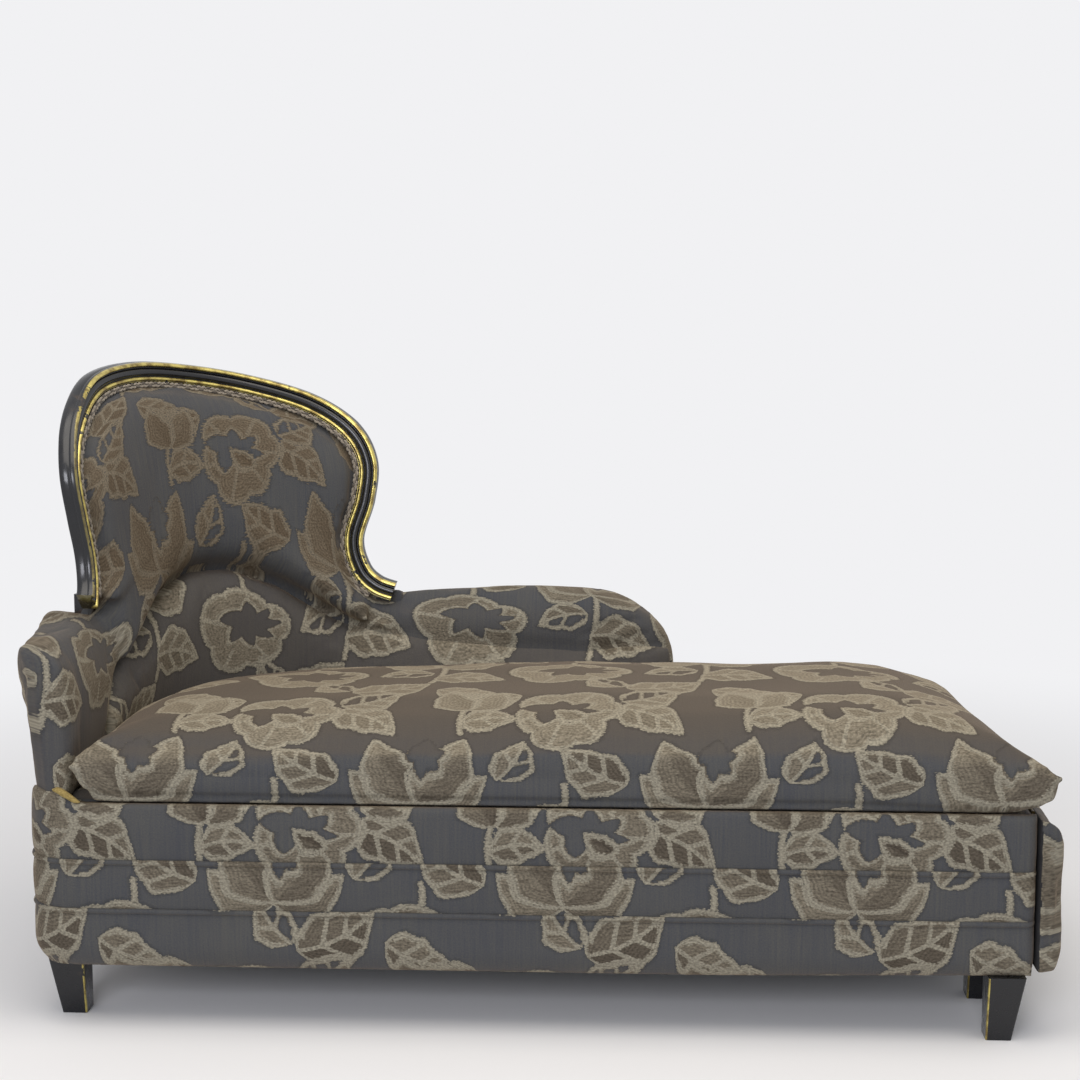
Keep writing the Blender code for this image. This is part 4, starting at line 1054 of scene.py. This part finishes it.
# Border rolls: three padded bands round the base, cut and laid one by one, so the flowers break at the seams
rolls = {
    "spacing": 0.0034, "depth": 0.030, "flat": 0.004, "groove": 0.007, "under": 0.018, "fill": 0.85,
    "swell": 0.0020, "swellLong": 0.10, "swellHigh": 0.06, "swellFrom": 0.02,
    "pucker": 0.0016, "puckerLong": 0.013, "puckerHigh": 0.014,
    "tuck": 0.014, "tuckOver": 0.016,
    "cornerRise": 0.018, "riseFrom": 0.030, "riseOver": 0.045, "fallOver": 0.060,
    "headInset": 0.007, "headFrom": 0.02, "headOver": 0.10, "headBack": 0.30,
    "sag": 0.010, "sagEnd": 0.003, "sagOver": 0.55,
}


def rollSection(low, high, below, rows=27):
    # swelling face from seam to seam, then the flat back
    face = []
    for i in range(rows):
        part = i / (rows - 1)
        reach = -rolls["flat"] - rolls["groove"] * (1 - math.sin(math.pi * part) ** 0.36)
        if below:
            reach -= rolls["under"] * max(0.0, 1 - part / 0.45) ** 2.2
        face.append((reach, low + (high - low) * part))
    return face + [(-rolls["depth"], high), (-rolls["depth"], (low + high) / 2), (-rolls["depth"], low)]


def cornerRise(run):
    # the top band is drawn up to the arm round the head's front corner
    up = eased((run - frontRun + rolls["riseFrom"]) / rolls["riseOver"])
    down = eased((headStart + rolls["riseFrom"] - run) / rolls["fallOver"])
    return rolls["cornerRise"] * up * down


def drawnIn(run):
    # the bands are tucked in at the foot end and drawn tighter round the head end
    end = min(run, outlineEnd - run)
    fromFront = (run - frontRun + rolls["headFrom"]) / rolls["headOver"]
    head = limited(min(fromFront, (cornerEnd - run) / rolls["headBack"]))
    return rolls["tuck"] * max(0.0, 1 - end / rolls["tuckOver"]) ** 2 + rolls["headInset"] * head


def rollSag(run):
    # the lowest band hangs down a little, least at the foot end
    part = eased(min(run, outlineEnd - run) / rolls["sagOver"])
    return rolls["sagEnd"] + (rolls["sag"] - rolls["sagEnd"]) * part


def rollReach(x, y, run):
    # how far outward from the base outline a point lies
    out = outlinePoint(run, 1.0) - outlinePoint(run, 0.0)
    return (Vector((x, y)) - outlinePoint(run, 0.0)).dot(out)


def runOf(x, y):
    # how far round the base outline a point lies
    if x > cornerCentre.x and y > cornerCentre.y:
        return cornerEnd + x - cornerCentre.x
    if x <= cornerCentre.x and y > cornerCentre.y:
        return cornerStart + math.atan2(y - cornerCentre.y, cornerCentre.x - x) * outline["backRadius"]
    bendX = outline["left"] + outline["frontRadius"]
    bendY = outline["front"] + outline["frontRadius"]
    if x < bendX and y < bendY:
        return frontRun + math.atan2(bendX - x, bendY - y) * outline["frontRadius"]
    if x < bendX:
        return headStart + y - bendY
    return outline["right"] - x


def buildRoll(name, node, seed, shift):
    low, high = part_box(node)[0].z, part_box(node)[1].z
    section = rollSection(low, high, node == "lower_border_roll")
    count = round(outlineEnd / rolls["spacing"])
    runs = [outlineEnd * i / count for i in range(count + 1)]
    rows = len(section)

    def place(column, row):
        run = runs[column]
        reach, z = section[row % rows]
        if reach > -rolls["depth"]:
            seam = min(z - low, high - z)
            waves = noise.noise(Vector((run / rolls["swellLong"], z / rolls["swellHigh"], seed)))
            gathers = noise.noise(Vector((run / rolls["puckerLong"], seed * 2.0, 0)))
            reach += waves * rolls["swell"] * min(1.0, seam / rolls["swellFrom"])
            reach += gathers * rolls["pucker"] * math.exp(-seam / rolls["puckerHigh"])
            reach -= drawnIn(run)
        flat = outlinePoint(run, reach)
        if node == "upper_border_roll":
            z += cornerRise(run) * max(0.0, (z - low) / (high - low)) ** 3
        if node == "lower_border_roll":
            z -= rollSag(run) * (1 - (z - low) / (high - low)) ** 1.2
        return flat.x, flat.y, z

    mesh = meshFrom(name, gridSweep(count + 1, rows + 1, place, True))
    points = pointsOf(mesh)
    x, y, z = points.T
    runAt = np.array([runOf(a, b) for a, b in zip(x, y)])
    inward = np.array([rollReach(a, b, run) for a, b, run in zip(x, y, runAt)])
    over = np.maximum(0, -inward - rolls["flat"] - rolls["groove"]) * (z > high - 0.0005)
    dress(mesh, outline["right"] - runAt + shift[0], z + over + shift[1])
    thing = newPiece(name, mesh, [floral], "base", [node])


# Piping: a covered cord in each seam between the rolls
piping = {
    "radius": 0.0043, "spacing": 0.006, "sides": 10, "reach": -0.0078, "wobble": 0.0008, "wobbleLong": 0.05,
}


def buildPiping(name, node, shift):
    low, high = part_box(node)
    level = (low.z + high.z) / 2
    count = round(outlineEnd / piping["spacing"])

    def place(column, row):
        run = outlineEnd * column / count
        turn = 2 * math.pi * row / piping["sides"]
        wobble = noise.noise(Vector((run / piping["wobbleLong"], level * 40, 3))) * piping["wobble"]
        flat = outlinePoint(run, piping["reach"] - drawnIn(run) + piping["radius"] * math.cos(turn))
        return flat.x, flat.y, level + wobble + piping["radius"] * math.sin(turn)

    mesh = meshFrom(name, gridSweep(count + 1, piping["sides"] + 1, place, True))
    x, y, z = pointsOf(mesh).T
    runAt = np.array([runOf(a, b) for a, b in zip(x, y)])
    dress(mesh, outline["right"] - runAt + shift[0], z + shift[1])
    newPiece(name, mesh, [floral], "base", [node])


lowerShift, middleShift, upperShift = (0.11, -0.12), (0.27, 0.02), (0.0, 0.10)
buildRoll("lowerRoll", "lower_border_roll", 1.0, lowerShift)
buildRoll("middleRoll", "middle_border_roll", 2.0, middleShift)
buildRoll("upperRoll", "upper_border_roll", 3.0, upperShift)
buildPiping("lowerPiping", "lower_piping", lowerShift)
buildPiping("upperPiping", "upper_piping", middleShift)
print("border rolls and piping laid")


# Ebonised beech with worn water gilding: black shellac with a cool sheen, its leaf rubbed through
ebonised = {"black": "#0b0c11", "rubbed": "#33271d", "gold": "#c9b968", "goldDark": "#83703a"}


def giltMaterial(name):
    material, tree = newMaterial(name)
    gilt = addNode(tree, "ShaderNodeAttribute", attribute_name="gilt")
    where = addNode(tree, "ShaderNodeTexCoord")
    wear = addNode(tree, "ShaderNodeTexNoise", {"Vector": (where, "Object"), "Scale": 55.0, "Detail": 6.0})
    patches = addNode(tree, "ShaderNodeTexNoise", {"Vector": (where, "Object"), "Scale": 9.0, "Detail": 2.0})
    worn = addNode(tree, "ShaderNodeMath", {0: (wear, "Fac"), 1: (patches, "Fac")}, operation="ADD")
    kept = addNode(tree, "ShaderNodeMapRange", {
        "Value": (worn, "Value"), "From Min": 1.16, "From Max": 1.24, "To Min": 1.0, "To Max": 0.12})
    leaf = addNode(tree, "ShaderNodeMath", {0: (gilt, "Fac"), 1: (kept, "Result")}, operation="MULTIPLY")
    onLeaf = addNode(tree, "ShaderNodeMapRange", {
        "Value": (leaf, "Value"), "From Min": 0.35, "From Max": 0.65})
    rubbed = addNode(tree, "ShaderNodeMapRange", {
        "Value": (worn, "Value"), "From Min": 1.22, "From Max": 1.34, "To Min": 0.0, "To Max": 0.8})
    black = addNode(tree, "ShaderNodeMix", {
        0: (rubbed, "Result"), 6: ebonised["black"], 7: ebonised["rubbed"]}, data_type="RGBA")
    gold = addNode(tree, "ShaderNodeValToRGB", {"Fac": (wear, "Fac")}, stops=[
        (0.36, ebonised["goldDark"]), (0.58, ebonised["gold"])])
    colour = addNode(tree, "ShaderNodeMix", {
        0: (onLeaf, "Result"), 6: (black, 2), 7: (gold, "Color")}, data_type="RGBA")
    metal = addNode(tree, "ShaderNodeMath", {0: (onLeaf, "Result"), 1: 0.85}, operation="MULTIPLY")
    rough = addNode(tree, "ShaderNodeMapRange", {
        "Value": (wear, "Fac"), "From Min": 0.3, "From Max": 0.7, "To Min": 0.20, "To Max": 0.38})
    bump = addNode(tree, "ShaderNodeBump", {"Strength": 0.25, "Distance": 0.0008, "Height": (wear, "Fac")})
    shader = addNode(tree, "ShaderNodeBsdfPrincipled", {
        "Base Color": (colour, 2), "Metallic": (metal, "Value"), "Roughness": (rough, "Result"),
        "Specular IOR Level": 0.3, "Coat Weight": 0.5, "Coat Roughness": 0.14, "Normal": (bump, "Normal")})
    addNode(tree, "ShaderNodeOutputMaterial", {"Surface": (shader, "BSDF")})
    return material


showWood = giltMaterial("ebonisedGiltBeech")


def markPoints(mesh, name, values):
    # gives each point a value, which a material reads by its name
    attribute = mesh.attributes.new(name, "FLOAT", "POINT")
    attribute.data.foreach_set("value", np.asarray(values, np.float32))


# Medallion frame: one moulding run round the back; places are (along the back, height)
medallion = [
    (-0.425, 0.632), (-0.385, 0.642), (-0.352, 0.668), (-0.338, 0.715), (-0.345, 0.775), (-0.348, 0.845),
    (-0.319, 0.905), (-0.262, 0.962), (-0.190, 1.007), (-0.090, 1.024), (0.020, 1.016), (0.136, 0.993),
    (0.244, 0.956), (0.318, 0.903), (0.352, 0.838), (0.348, 0.765), (0.328, 0.695), (0.340, 0.648),
    (0.362, 0.626), (0.390, 0.616),
]
frameSet = {
    "front": -0.0864, "zero": arms["top"], "width": 0.034, "columns": 420, "leftEnd": 1.6,
    # share of the leaf that is left on the left stile's outer bead, and where along the run it grows full
    "bead": 10, "beadLeaf": 0.46, "beadFrom": 0.26, "beadOver": 0.12, "endLeaf": 0.4,
}
# moulding from the rear round the outer side and over the face: mm across, mm deep, gilt or black
moulding = [
    (3, 30, 0), (0.6, 29.4, 0), (-0.2, 27, 0), (-0.7, 22, 0), (-0.6, 17, 0), (0.4, 13.4, 0),
    (1.2, 12.4, 0), (1.2, 11.8, 0), (0.2, 10.8, 0), (-0.2, 9.4, 0), (0.0, 7.6, 0), (0.5, 5.2, 0.6),
    (1.6, 2.8, 1), (3.2, 1.1, 1), (5.0, 0.4, 1), (6.4, 0.8, 1), (7.6, 2.2, 1), (8.2, 4.0, 0.3),
    (8.6, 5.8, 0), (9.2, 6.8, 0), (10.2, 6.8, 0), (11.1, 5.6, 0), (12.2, 4.2, 0), (14.0, 3.0, 0),
    (16.0, 2.4, 0), (18.2, 2.3, 0), (20.4, 2.9, 0), (22.4, 4.2, 0), (23.8, 6.0, 0), (24.3, 7.2, 0),
    (25.2, 7.2, 0), (25.6, 5.6, 0.4), (26.2, 4.0, 1), (27.4, 2.6, 1), (29.0, 2.0, 1), (30.6, 2.5, 1),
    (31.8, 3.8, 1), (32.3, 5.2, 0), (32.9, 5.4, 0), (33.4, 4.8, 1), (33.9, 5.4, 1), (34.0, 8.0, 0),
    (34.0, 18, 0), (34.0, 28, 0), (32, 30, 0), (18, 30, 0),
]


def onBack(along, height, depth):
    return standing(along, frameSet["front"] + backRake * (height - frameSet["zero"]) + depth, height)


def medallionAt(place):
    # a point on the outer edge and the way inward from it
    last = len(medallion) - 1
    ahead = smoothThrough(medallion, min(place + 0.05, last))
    behind = smoothThrough(medallion, max(place - 0.05, 0.0))
    run = (ahead - behind).normalized()
    return smoothThrough(medallion, place), Vector((run.y, -run.x))


def buildFrame():
    count = frameSet["columns"]
    rows = len(moulding)
    first, last = frameSet["leftEnd"], len(medallion) - 1
    spots = [medallionAt(first + (last - first) * i / count) for i in range(count + 1)]
    gilt = {}

    def place(column, row):
        edge, normal = spots[column]
        across, depth, gold = moulding[row % rows]
        at = edge + normal * across / 1000
        point = onBack(at.x, at.y, depth / 1000)
        if across < frameSet["bead"]:
            left = frameSet["beadLeaf"]
            grown = limited((column / count - frameSet["beadFrom"]) / frameSet["beadOver"])
            gold *= left + (1 - left) * grown
        end = column in (0, count)
        gilt[tuple(round(c, 5) for c in point)] = max(gold, frameSet["endLeaf"] if end else 0.0)
        return point

    mesh = meshFrom("medallionFrame", gridSweep(count + 1, rows + 1, place, True))
    markPoints(mesh, "gilt", [gilt.get(tuple(round(c, 5) for c in vert.co), 0.0) for vert in mesh.vertices])
    newPiece(
        "medallionFrame", mesh, [showWood], "base",
        ["left_stile", "crest_rail", "right_stile"])
    print("medallion frame run")


buildFrame()


# Gimp: flat three-strand braid glued round the pad, beige and brown threads
gimp = {
    "light": "#83796a", "dark": "#433a2f", "wave": 0.026, "strand": 0.0022, "swing": 0.0030, "step": 0.0018,
    "strands": 3, "sides": 6, "inset": 0.0054, "depth": 0.004, "lift": 0.0008, "stops": 700,
}


def gimpMaterial():
    material, tree = newMaterial("plaitedRayonGimp")
    where = addNode(tree, "ShaderNodeTexCoord")
    threads = addNode(tree, "ShaderNodeTexNoise", {
        "Vector": (where, "Object"), "Scale": 320.0, "Detail": 2.0})
    strand = addNode(tree, "ShaderNodeAttribute", attribute_name="strand")
    worn = addNode(tree, "ShaderNodeMath", {0: (threads, "Fac"), 1: 0.9, 2: -0.45}, operation="MULTIPLY_ADD")
    shade = addNode(tree, "ShaderNodeMath", {0: (strand, "Fac"), 1: (worn, "Value")}, operation="ADD")
    colour = addNode(tree, "ShaderNodeValToRGB", {"Fac": (shade, "Value")}, stops=[
        (0.15, gimp["dark"]), (0.80, gimp["light"])])
    bump = addNode(tree, "ShaderNodeBump", {"Strength": 0.4, "Distance": 0.0006, "Height": (threads, "Fac")})
    shader = addNode(tree, "ShaderNodeBsdfPrincipled", {
        "Base Color": (colour, "Color"), "Roughness": 0.6, "Sheen Weight": 0.3, "Normal": (bump, "Normal")})
    addNode(tree, "ShaderNodeOutputMaterial", {"Surface": (shader, "BSDF")})
    return material


def buildGimp():
    path = []
    for stop in np.linspace(2, len(medallion) - 2, gimp["stops"]):
        edge, normal = medallionAt(stop)
        path.append((edge + normal * (frameSet["width"] + gimp["inset"]), normal))
    last = len(path) - 1
    lengths = np.cumsum([0] + [(b[0] - a[0]).length for a, b in zip(path, path[1:])])
    count = round(lengths[-1] / gimp["step"])
    runs = [lengths[-1] * i / count for i in range(count + 1)]
    bm = bmesh.new()
    for strand in range(gimp["strands"]):
        phase = 2 * math.pi * strand / gimp["strands"]

        def place(column, row):
            run = runs[column]
            spot = float(np.interp(run, lengths, np.arange(len(path))))
            at = path[min(int(spot), last - 1)][0].lerp(path[min(int(spot) + 1, last)][0], spot % 1)
            normal = path[min(round(spot), last)][1]
            swing = math.sin(2 * math.pi * run / gimp["wave"] + phase)
            lift = math.cos(4 * math.pi * run / gimp["wave"] + 2 * phase)
            turn = 2 * math.pi * row / gimp["sides"]
            spread = at + normal * (gimp["swing"] * swing + gimp["strand"] * math.cos(turn))
            depth = gimp["depth"] + gimp["lift"] * lift + gimp["strand"] * math.sin(turn)
            return onBack(spread.x, spread.y, depth)

        addSource(bm, gridSweep(count + 1, gimp["sides"] + 1, place, True))
    mesh = meshFrom("gimpBraid", bm)
    # two light strands and a dark one
    count = len(mesh.vertices)
    markPoints(mesh, "strand", np.where(np.arange(count) < count / gimp["strands"], 0.0, 1.0))
    newPiece("gimpBraid", mesh, [gimpMaterial()], "base", ["gimp_braid"])
    print("gimp plaited")


buildGimp()


# Outside of the back: cloth on a thin stuffing inside the rear of the frame
outsideBack = {
    "inset": 0.008, "low": 0.650, "near": 0.0256, "edge": 0.0285, "belly": 0.008, "middle": (0.0, 0.82),
    "stops": 260, "lowStops": 100, "rings": 60, "shift": (0.1, 0.05), "fill": 0.6,
}


def buildOutsideBack():
    middle = Vector(outsideBack["middle"])
    rim = []
    for stop in np.linspace(1.0, len(medallion) - 2.0, outsideBack["stops"]):
        edge, normal = medallionAt(stop)
        spot = edge + normal * outsideBack["inset"]
        if spot.y > outsideBack["low"]:
            rim.append(spot)
    first, last = rim[0], rim[-1]
    for i in range(1, outsideBack["lowStops"]):
        rim.append(Vector((last.x + (first.x - last.x) * i / outsideBack["lowStops"], outsideBack["low"])))
    rim.append(rim[0])
    rings = outsideBack["rings"]
    shares = [1 - i / rings for i in range(rings + 1)]
    levels = [(share, True) for share in shares] + [(share, False) for share in reversed(shares)]

    def place(column, row):
        share, rear = levels[row % len(levels)]
        spot = middle + (rim[column] - middle) * share
        depth = outsideBack["near"]
        if rear:
            depth = outsideBack["edge"] + outsideBack["belly"] * (1 - share ** 4)
        return onBack(spot.x, spot.y, depth)

    bm = gridSweep(len(rim), len(levels) + 1, place, True)
    mesh = meshFrom("outsideBack", bm)
    points = pointsOf(mesh)
    along = alongBack(points)[0]
    dress(mesh, -along + outsideBack["shift"][0], points[:, 2] + outsideBack["shift"][1])
    thing = newPiece("outsideBack", mesh, [floral], "base", ["outside_back_panel"])


buildOutsideBack()
print("outside back covered")


# Legs: square, tapered, ebonised, with gilt arrises
legs = {
    "names": [
        "leg_front_foot", "leg_rear_foot", "leg_inner_front", "leg_inner_rear", "leg_front_head",
        "leg_rear_head"],
    "arris": 0.0028, "narrow": 2.2, "round": 0.0008, "gilt": 0.62, "rubbed": 0.30, "tall": 0.05,
}


def softened(bm, edges, width, segments):
    bmesh.ops.bevel(
        bm, geom=edges, offset=width, offset_type="OFFSET", affect="EDGES", segments=segments, profile=0.5,
        material=-1)


def buildLeg(node):
    bm = bmesh.new()
    nodeCopy(bm, [node])
    bmesh.ops.dissolve_limit(bm, angle_limit=math.radians(2), verts=bm.verts, edges=bm.edges)
    upright = [e for e in bm.edges if abs(e.verts[0].co.z - e.verts[1].co.z) > legs["tall"]]
    softened(bm, upright, legs["arris"], 2)
    softened(bm, [e for e in bm.edges if e.calc_face_angle(0) > 1.0], legs["round"], 2)
    # the gilding has lasted on the arrises towards the middle and is rubbed off the outer ones
    narrow = legs["arris"] * legs["narrow"]
    low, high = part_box(node)
    middle = (low.x + high.x) / 2
    gold = bm.faces.layers.float.new("gilt")
    for face in bm.faces:
        width = min(edge.calc_length() for edge in face.edges)
        heights = [vert.co.z for vert in face.verts]
        arris = width < narrow and max(heights) - min(heights) > legs["tall"]
        inner = (face.calc_center_median().x - middle) * middle < 0
        face[gold] = (legs["gilt"] if inner else legs["rubbed"]) if arris else 0.0
    mesh = meshFrom(node + "Leg", bm)
    newPiece(node + "Leg", mesh, [showWood], "base", [node])
    mesh.shade_flat()


for legNode in legs["names"]:
    buildLeg(legNode)
print("legs set")


# Plain materials of the linings and the hidden parts
def mottledMaterial(name, light, dark, scale, roughness, bumpDepth, grain=(1, 1, 1)):
    # two close shades in a noise of a real size, stretched along the grain
    material, tree = newMaterial(name)
    where = addNode(tree, "ShaderNodeTexCoord")
    spread = addNode(tree, "ShaderNodeMapping", {"Vector": (where, "Object"), "Scale": grain})
    grainNoise = addNode(tree, "ShaderNodeTexNoise", {
        "Vector": (spread, "Vector"), "Scale": scale, "Detail": 5.0})
    colour = addNode(tree, "ShaderNodeValToRGB", {"Fac": (grainNoise, "Fac")}, stops=[
        (0.35, dark), (0.65, light)])
    bump = addNode(tree, "ShaderNodeBump", {
        "Strength": 0.4, "Distance": bumpDepth, "Height": (grainNoise, "Fac")})
    shader = addNode(tree, "ShaderNodeBsdfPrincipled", {
        "Base Color": (colour, "Color"), "Roughness": roughness, "Normal": (bump, "Normal")})
    addNode(tree, "ShaderNodeOutputMaterial", {"Surface": (shader, "BSDF")})
    return material


# Cut polyether foam, yellowed by age: open cells, drawn 3 mm across
foam = mottledMaterial("yellowedFoam", "#a08c55", "#7d6b3c", 300, 0.95, 0.0008)
# Spun-bonded polypropylene: matt black with a faint dimple every 2 mm
spunCloth = mottledMaterial("spunBlackCloth", "#232326", "#161618", 500, 0.9, 0.0003)
# Planed beech: pale, straight grain along the rails, 12 mm broad figure
beech = mottledMaterial("planedBeech", "#b98f63", "#9a7148", 40, 0.6, 0.0004, (1, 4, 4))
# Jute webbing: coarse plain weave, threads drawn 3 mm apart
jute = mottledMaterial("wovenJute", "#a58a5c", "#77603c", 340, 0.95, 0.001)
# Hessian: coarse brown plain weave
hessian = mottledMaterial("wovenHessian", "#9c8258", "#6e5837", 420, 0.95, 0.0008)


def metalMaterial(name, light, dark, roughness):
    material, tree = newMaterial(name)
    where = addNode(tree, "ShaderNodeTexCoord")
    tarnish = addNode(tree, "ShaderNodeTexNoise", {"Vector": (where, "Object"), "Scale": 90.0, "Detail": 5.0})
    colour = addNode(tree, "ShaderNodeValToRGB", {"Fac": (tarnish, "Fac")}, stops=[
        (0.35, dark), (0.65, light)])
    rough = addNode(tree, "ShaderNodeMapRange", {
        "Value": (tarnish, "Fac"), "To Min": roughness - 0.1, "To Max": roughness + 0.15})
    shader = addNode(tree, "ShaderNodeBsdfPrincipled", {
        "Base Color": (colour, "Color"), "Metallic": 1.0, "Roughness": (rough, "Result")})
    addNode(tree, "ShaderNodeOutputMaterial", {"Surface": (shader, "BSDF")})
    return material


# Oil-tempered spring wire, blue-grey; rolled brass, dulled
springWire = metalMaterial("temperedSpringWire", "#7b7f85", "#4d5056", 0.38)
brass = metalMaterial("tarnishedBrass", "#5c4a28", "#38301f", 0.5)


# End flap: padded board, its cover gathered at the edges
flapLow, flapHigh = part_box("flap_pad")
hingeLow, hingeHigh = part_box("hinge_flap_leaf")
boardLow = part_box("flap_board")[0]
flap = {
    "voxel": 0.0055, "smooth": 3, "pressure": 3.0, "cap": 0.008, "held": 0.004, "fill": 0.75,
    "shoulder": 0.019, "edge": 0.009, "top": 0.353, "proud": 0.002, "belly": 0.003,
    "gather": 0.0036, "gatherDeep": 0.030, "gatherWide": 0.016, "gatherOver": 0.02,
    "hug": 0.0016, "hugGather": 0.0012, "hugOver": 0.02, "hingeSide": 0.012, "hingeBelow": 0.010,
    "shift": (0.30, 0.02),
}


def buildFlap():
    bm = bmesh.new()
    bmesh.ops.create_cube(bm, size=1.0)
    low = Vector((boardLow.x, flapLow.y, flapLow.z))
    high = Vector((flapHigh.x + flap["proud"], flapHigh.y, flap["top"]))
    bmesh.ops.scale(bm, verts=bm.verts, vec=high - low)
    bmesh.ops.translate(bm, verts=bm.verts, vec=(low + high) / 2)
    outer = [e for e in bm.edges if min(v.co.x for v in e.verts) > high.x - 0.001]
    top = [e for e in outer if min(v.co.z for v in e.verts) > high.z - 0.001]
    for edges, width in ((top, flap["shoulder"]), ([e for e in outer if e not in top], flap["edge"])):
        softened(bm, [e for e in edges if e.is_valid], width, 5)
    mesh = padFrom(bm, flap["voxel"], flap["smooth"])
    points = pointsOf(mesh)
    mesh = fillPad(mesh, points[:, 0] < boardLow.x + flap["held"], flap["pressure"], flap["cap"])
    points = pointsOf(mesh)
    x, y, z = points.T
    outward = rising(x, boardLow.x, high.x - boardLow.x)
    x += flap["belly"] * outward
    rim = np.minimum(np.minimum(y - flapLow.y, flapHigh.y - y), np.minimum(z - flapLow.z, flapHigh.z - z))
    fold = np.array((flap["gatherDeep"], flap["gatherWide"], flap["gatherWide"]))
    gathers = np.array([noise.noise(Vector(p)) for p in points / fold])
    near = fading(rim, flap["gatherOver"])
    x += gathers * flap["gather"] * near * outward
    # past the hinge's ends and below it the edge pads hug the base
    free = rising(-y, flap["hingeSide"] - hingeLow.y, flap["hugOver"])
    free = np.maximum(free, rising(y, hingeHigh.y + flap["hingeSide"], flap["hugOver"]))
    free = np.maximum(free, rising(-z, flap["hingeBelow"] - hingeLow.z, flap["hugOver"]) * near)
    x -= (flap["hug"] + gathers * flap["hugGather"]) * free * (1 - outward)
    y += gathers * flap["gather"] * near * np.exp(-(y - flapLow.y) / flap["gatherOver"])
    setPoints(mesh, points)
    mesh = refined(mesh)
    x, y, z = pointsOf(mesh).T
    dress(mesh, y - (x - flapHigh.x) + flap["shift"][0], z + flap["shift"][1])
    thing = newPiece(
        "flapCushion", mesh, [floral, spunCloth], "end_flap", ["flap_pad", "flap_board"])
    # the side towards the base is lined with black cloth
    for face in mesh.polygons:
        if face.normal.x < -0.6 and face.center.x < boardLow.x + 0.005:
            face.material_index = 1


buildFlap()
print("flap padded")


# Deck: the flat pad under the mattress
deck = {"voxel": 0.009, "smooth": 2, "rippleWide": 0.12, "rippleDeep": 0.0012, "clear": 0.0002, "fill": 0.9}


def buildDeck():
    bm = bmesh.new()
    nodeCopy(bm, ["deck_pad"])
    mesh = padFrom(bm, deck["voxel"], deck["smooth"])
    points = pointsOf(mesh)
    points[:, 2] += ripple(points, deck["rippleWide"], deck["rippleDeep"], 5)
    points[:, 2] = np.minimum(points[:, 2], mattressLow.z - deck["clear"])
    setPoints(mesh, points)
    dress(mesh, points[:, 0], points[:, 1])
    thing = newPiece("deckPad", mesh, [floral], "base", ["deck_pad"])


buildDeck()


# A worn strip of the edge foam shows between the base and the mattress at the head's front corner
edgeFoam = {
    "from": 0.026, "to": 0.024, "reach": (-0.012, -0.017), "half": (0.008, 0.0058), "above": 0.003,
    "columns": 60, "sides": 14, "rough": 0.18, "cell": 0.010, "fill": 0.5,
}


def buildEdgeFoam():
    start, stop = frontRun - edgeFoam["from"], frontRun + edgeFoam["to"]
    count, sides = edgeFoam["columns"], edgeFoam["sides"]

    def place(column, row):
        part = column / count
        run = start + (stop - start) * part
        turn = 2 * math.pi * row / sides
        swell = math.sin(math.pi * min(max(part, 0.02), 0.98)) ** 0.5
        torn = noise.noise(Vector((run / edgeFoam["cell"], math.cos(turn) * 2, math.sin(turn) * 2)))
        rough = 1 + edgeFoam["rough"] * torn
        middle = edgeFoam["reach"][0] + (edgeFoam["reach"][1] - edgeFoam["reach"][0]) * part
        reach = middle + edgeFoam["half"][0] * swell * rough * math.cos(turn)
        flat = outlinePoint(run, reach)
        rise = edgeFoam["above"] + cornerRise(run) + edgeFoam["half"][1] * swell * rough * math.sin(turn)
        return flat.x, flat.y, baseTop + rise

    mesh = meshFrom("edgeFoam", gridSweep(count + 1, sides + 1, place, True))
    thing = newPiece("edgeFoam", mesh, [foam], "base")


buildEdgeFoam()


# Dust cover: black cloth stretched under the rails
def buildDustCover():
    bm = bmesh.new()
    nodeCopy(bm, ["dust_cover"])
    bmesh.ops.dissolve_limit(bm, angle_limit=math.radians(2), verts=bm.verts, edges=bm.edges)
    under = max(bm.faces, key=lambda face: -face.calc_center_median().z * 1000 + face.calc_area())
    area = under.calc_area()
    mesh = meshFrom("dustCover", bm)
    thing = newPiece("dustCover", mesh, [spunCloth], "base", ["dust_cover"])


buildDustCover()


# Hidden woodwork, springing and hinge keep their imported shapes
finishes = {
    beech: [
        "head_rail", "corner_rail", "front_corner_block", "front_cleat", "rear_cleat", "centre_brace",
        "head_arm_post", "rear_arm_post", "head_arm_rail", "rear_arm_rail",
    ],
    showWood: ["front_rail", "rear_rail", "left_back_post", "right_back_post", "lower_back_rail"],
    jute: ["cross_webbing_1", "cross_webbing_2", "cross_webbing_3", "long_webbing_1", "long_webbing_2"],
    springWire: ["spring_1", "spring_2", "spring_3", "spring_4", "spring_5", "spring_6"],
    hessian: ["spring_cover"],
    spunCloth: ["foot_rail"],
    brass: ["hinge_fixed_leaf", "hinge_flap_leaf", "hinge_pin"],
}
for finish, names in finishes.items():
    for name in names:
        for slot in nodes[name].material_slots:
            slot.material = finish
print("hidden parts finished")
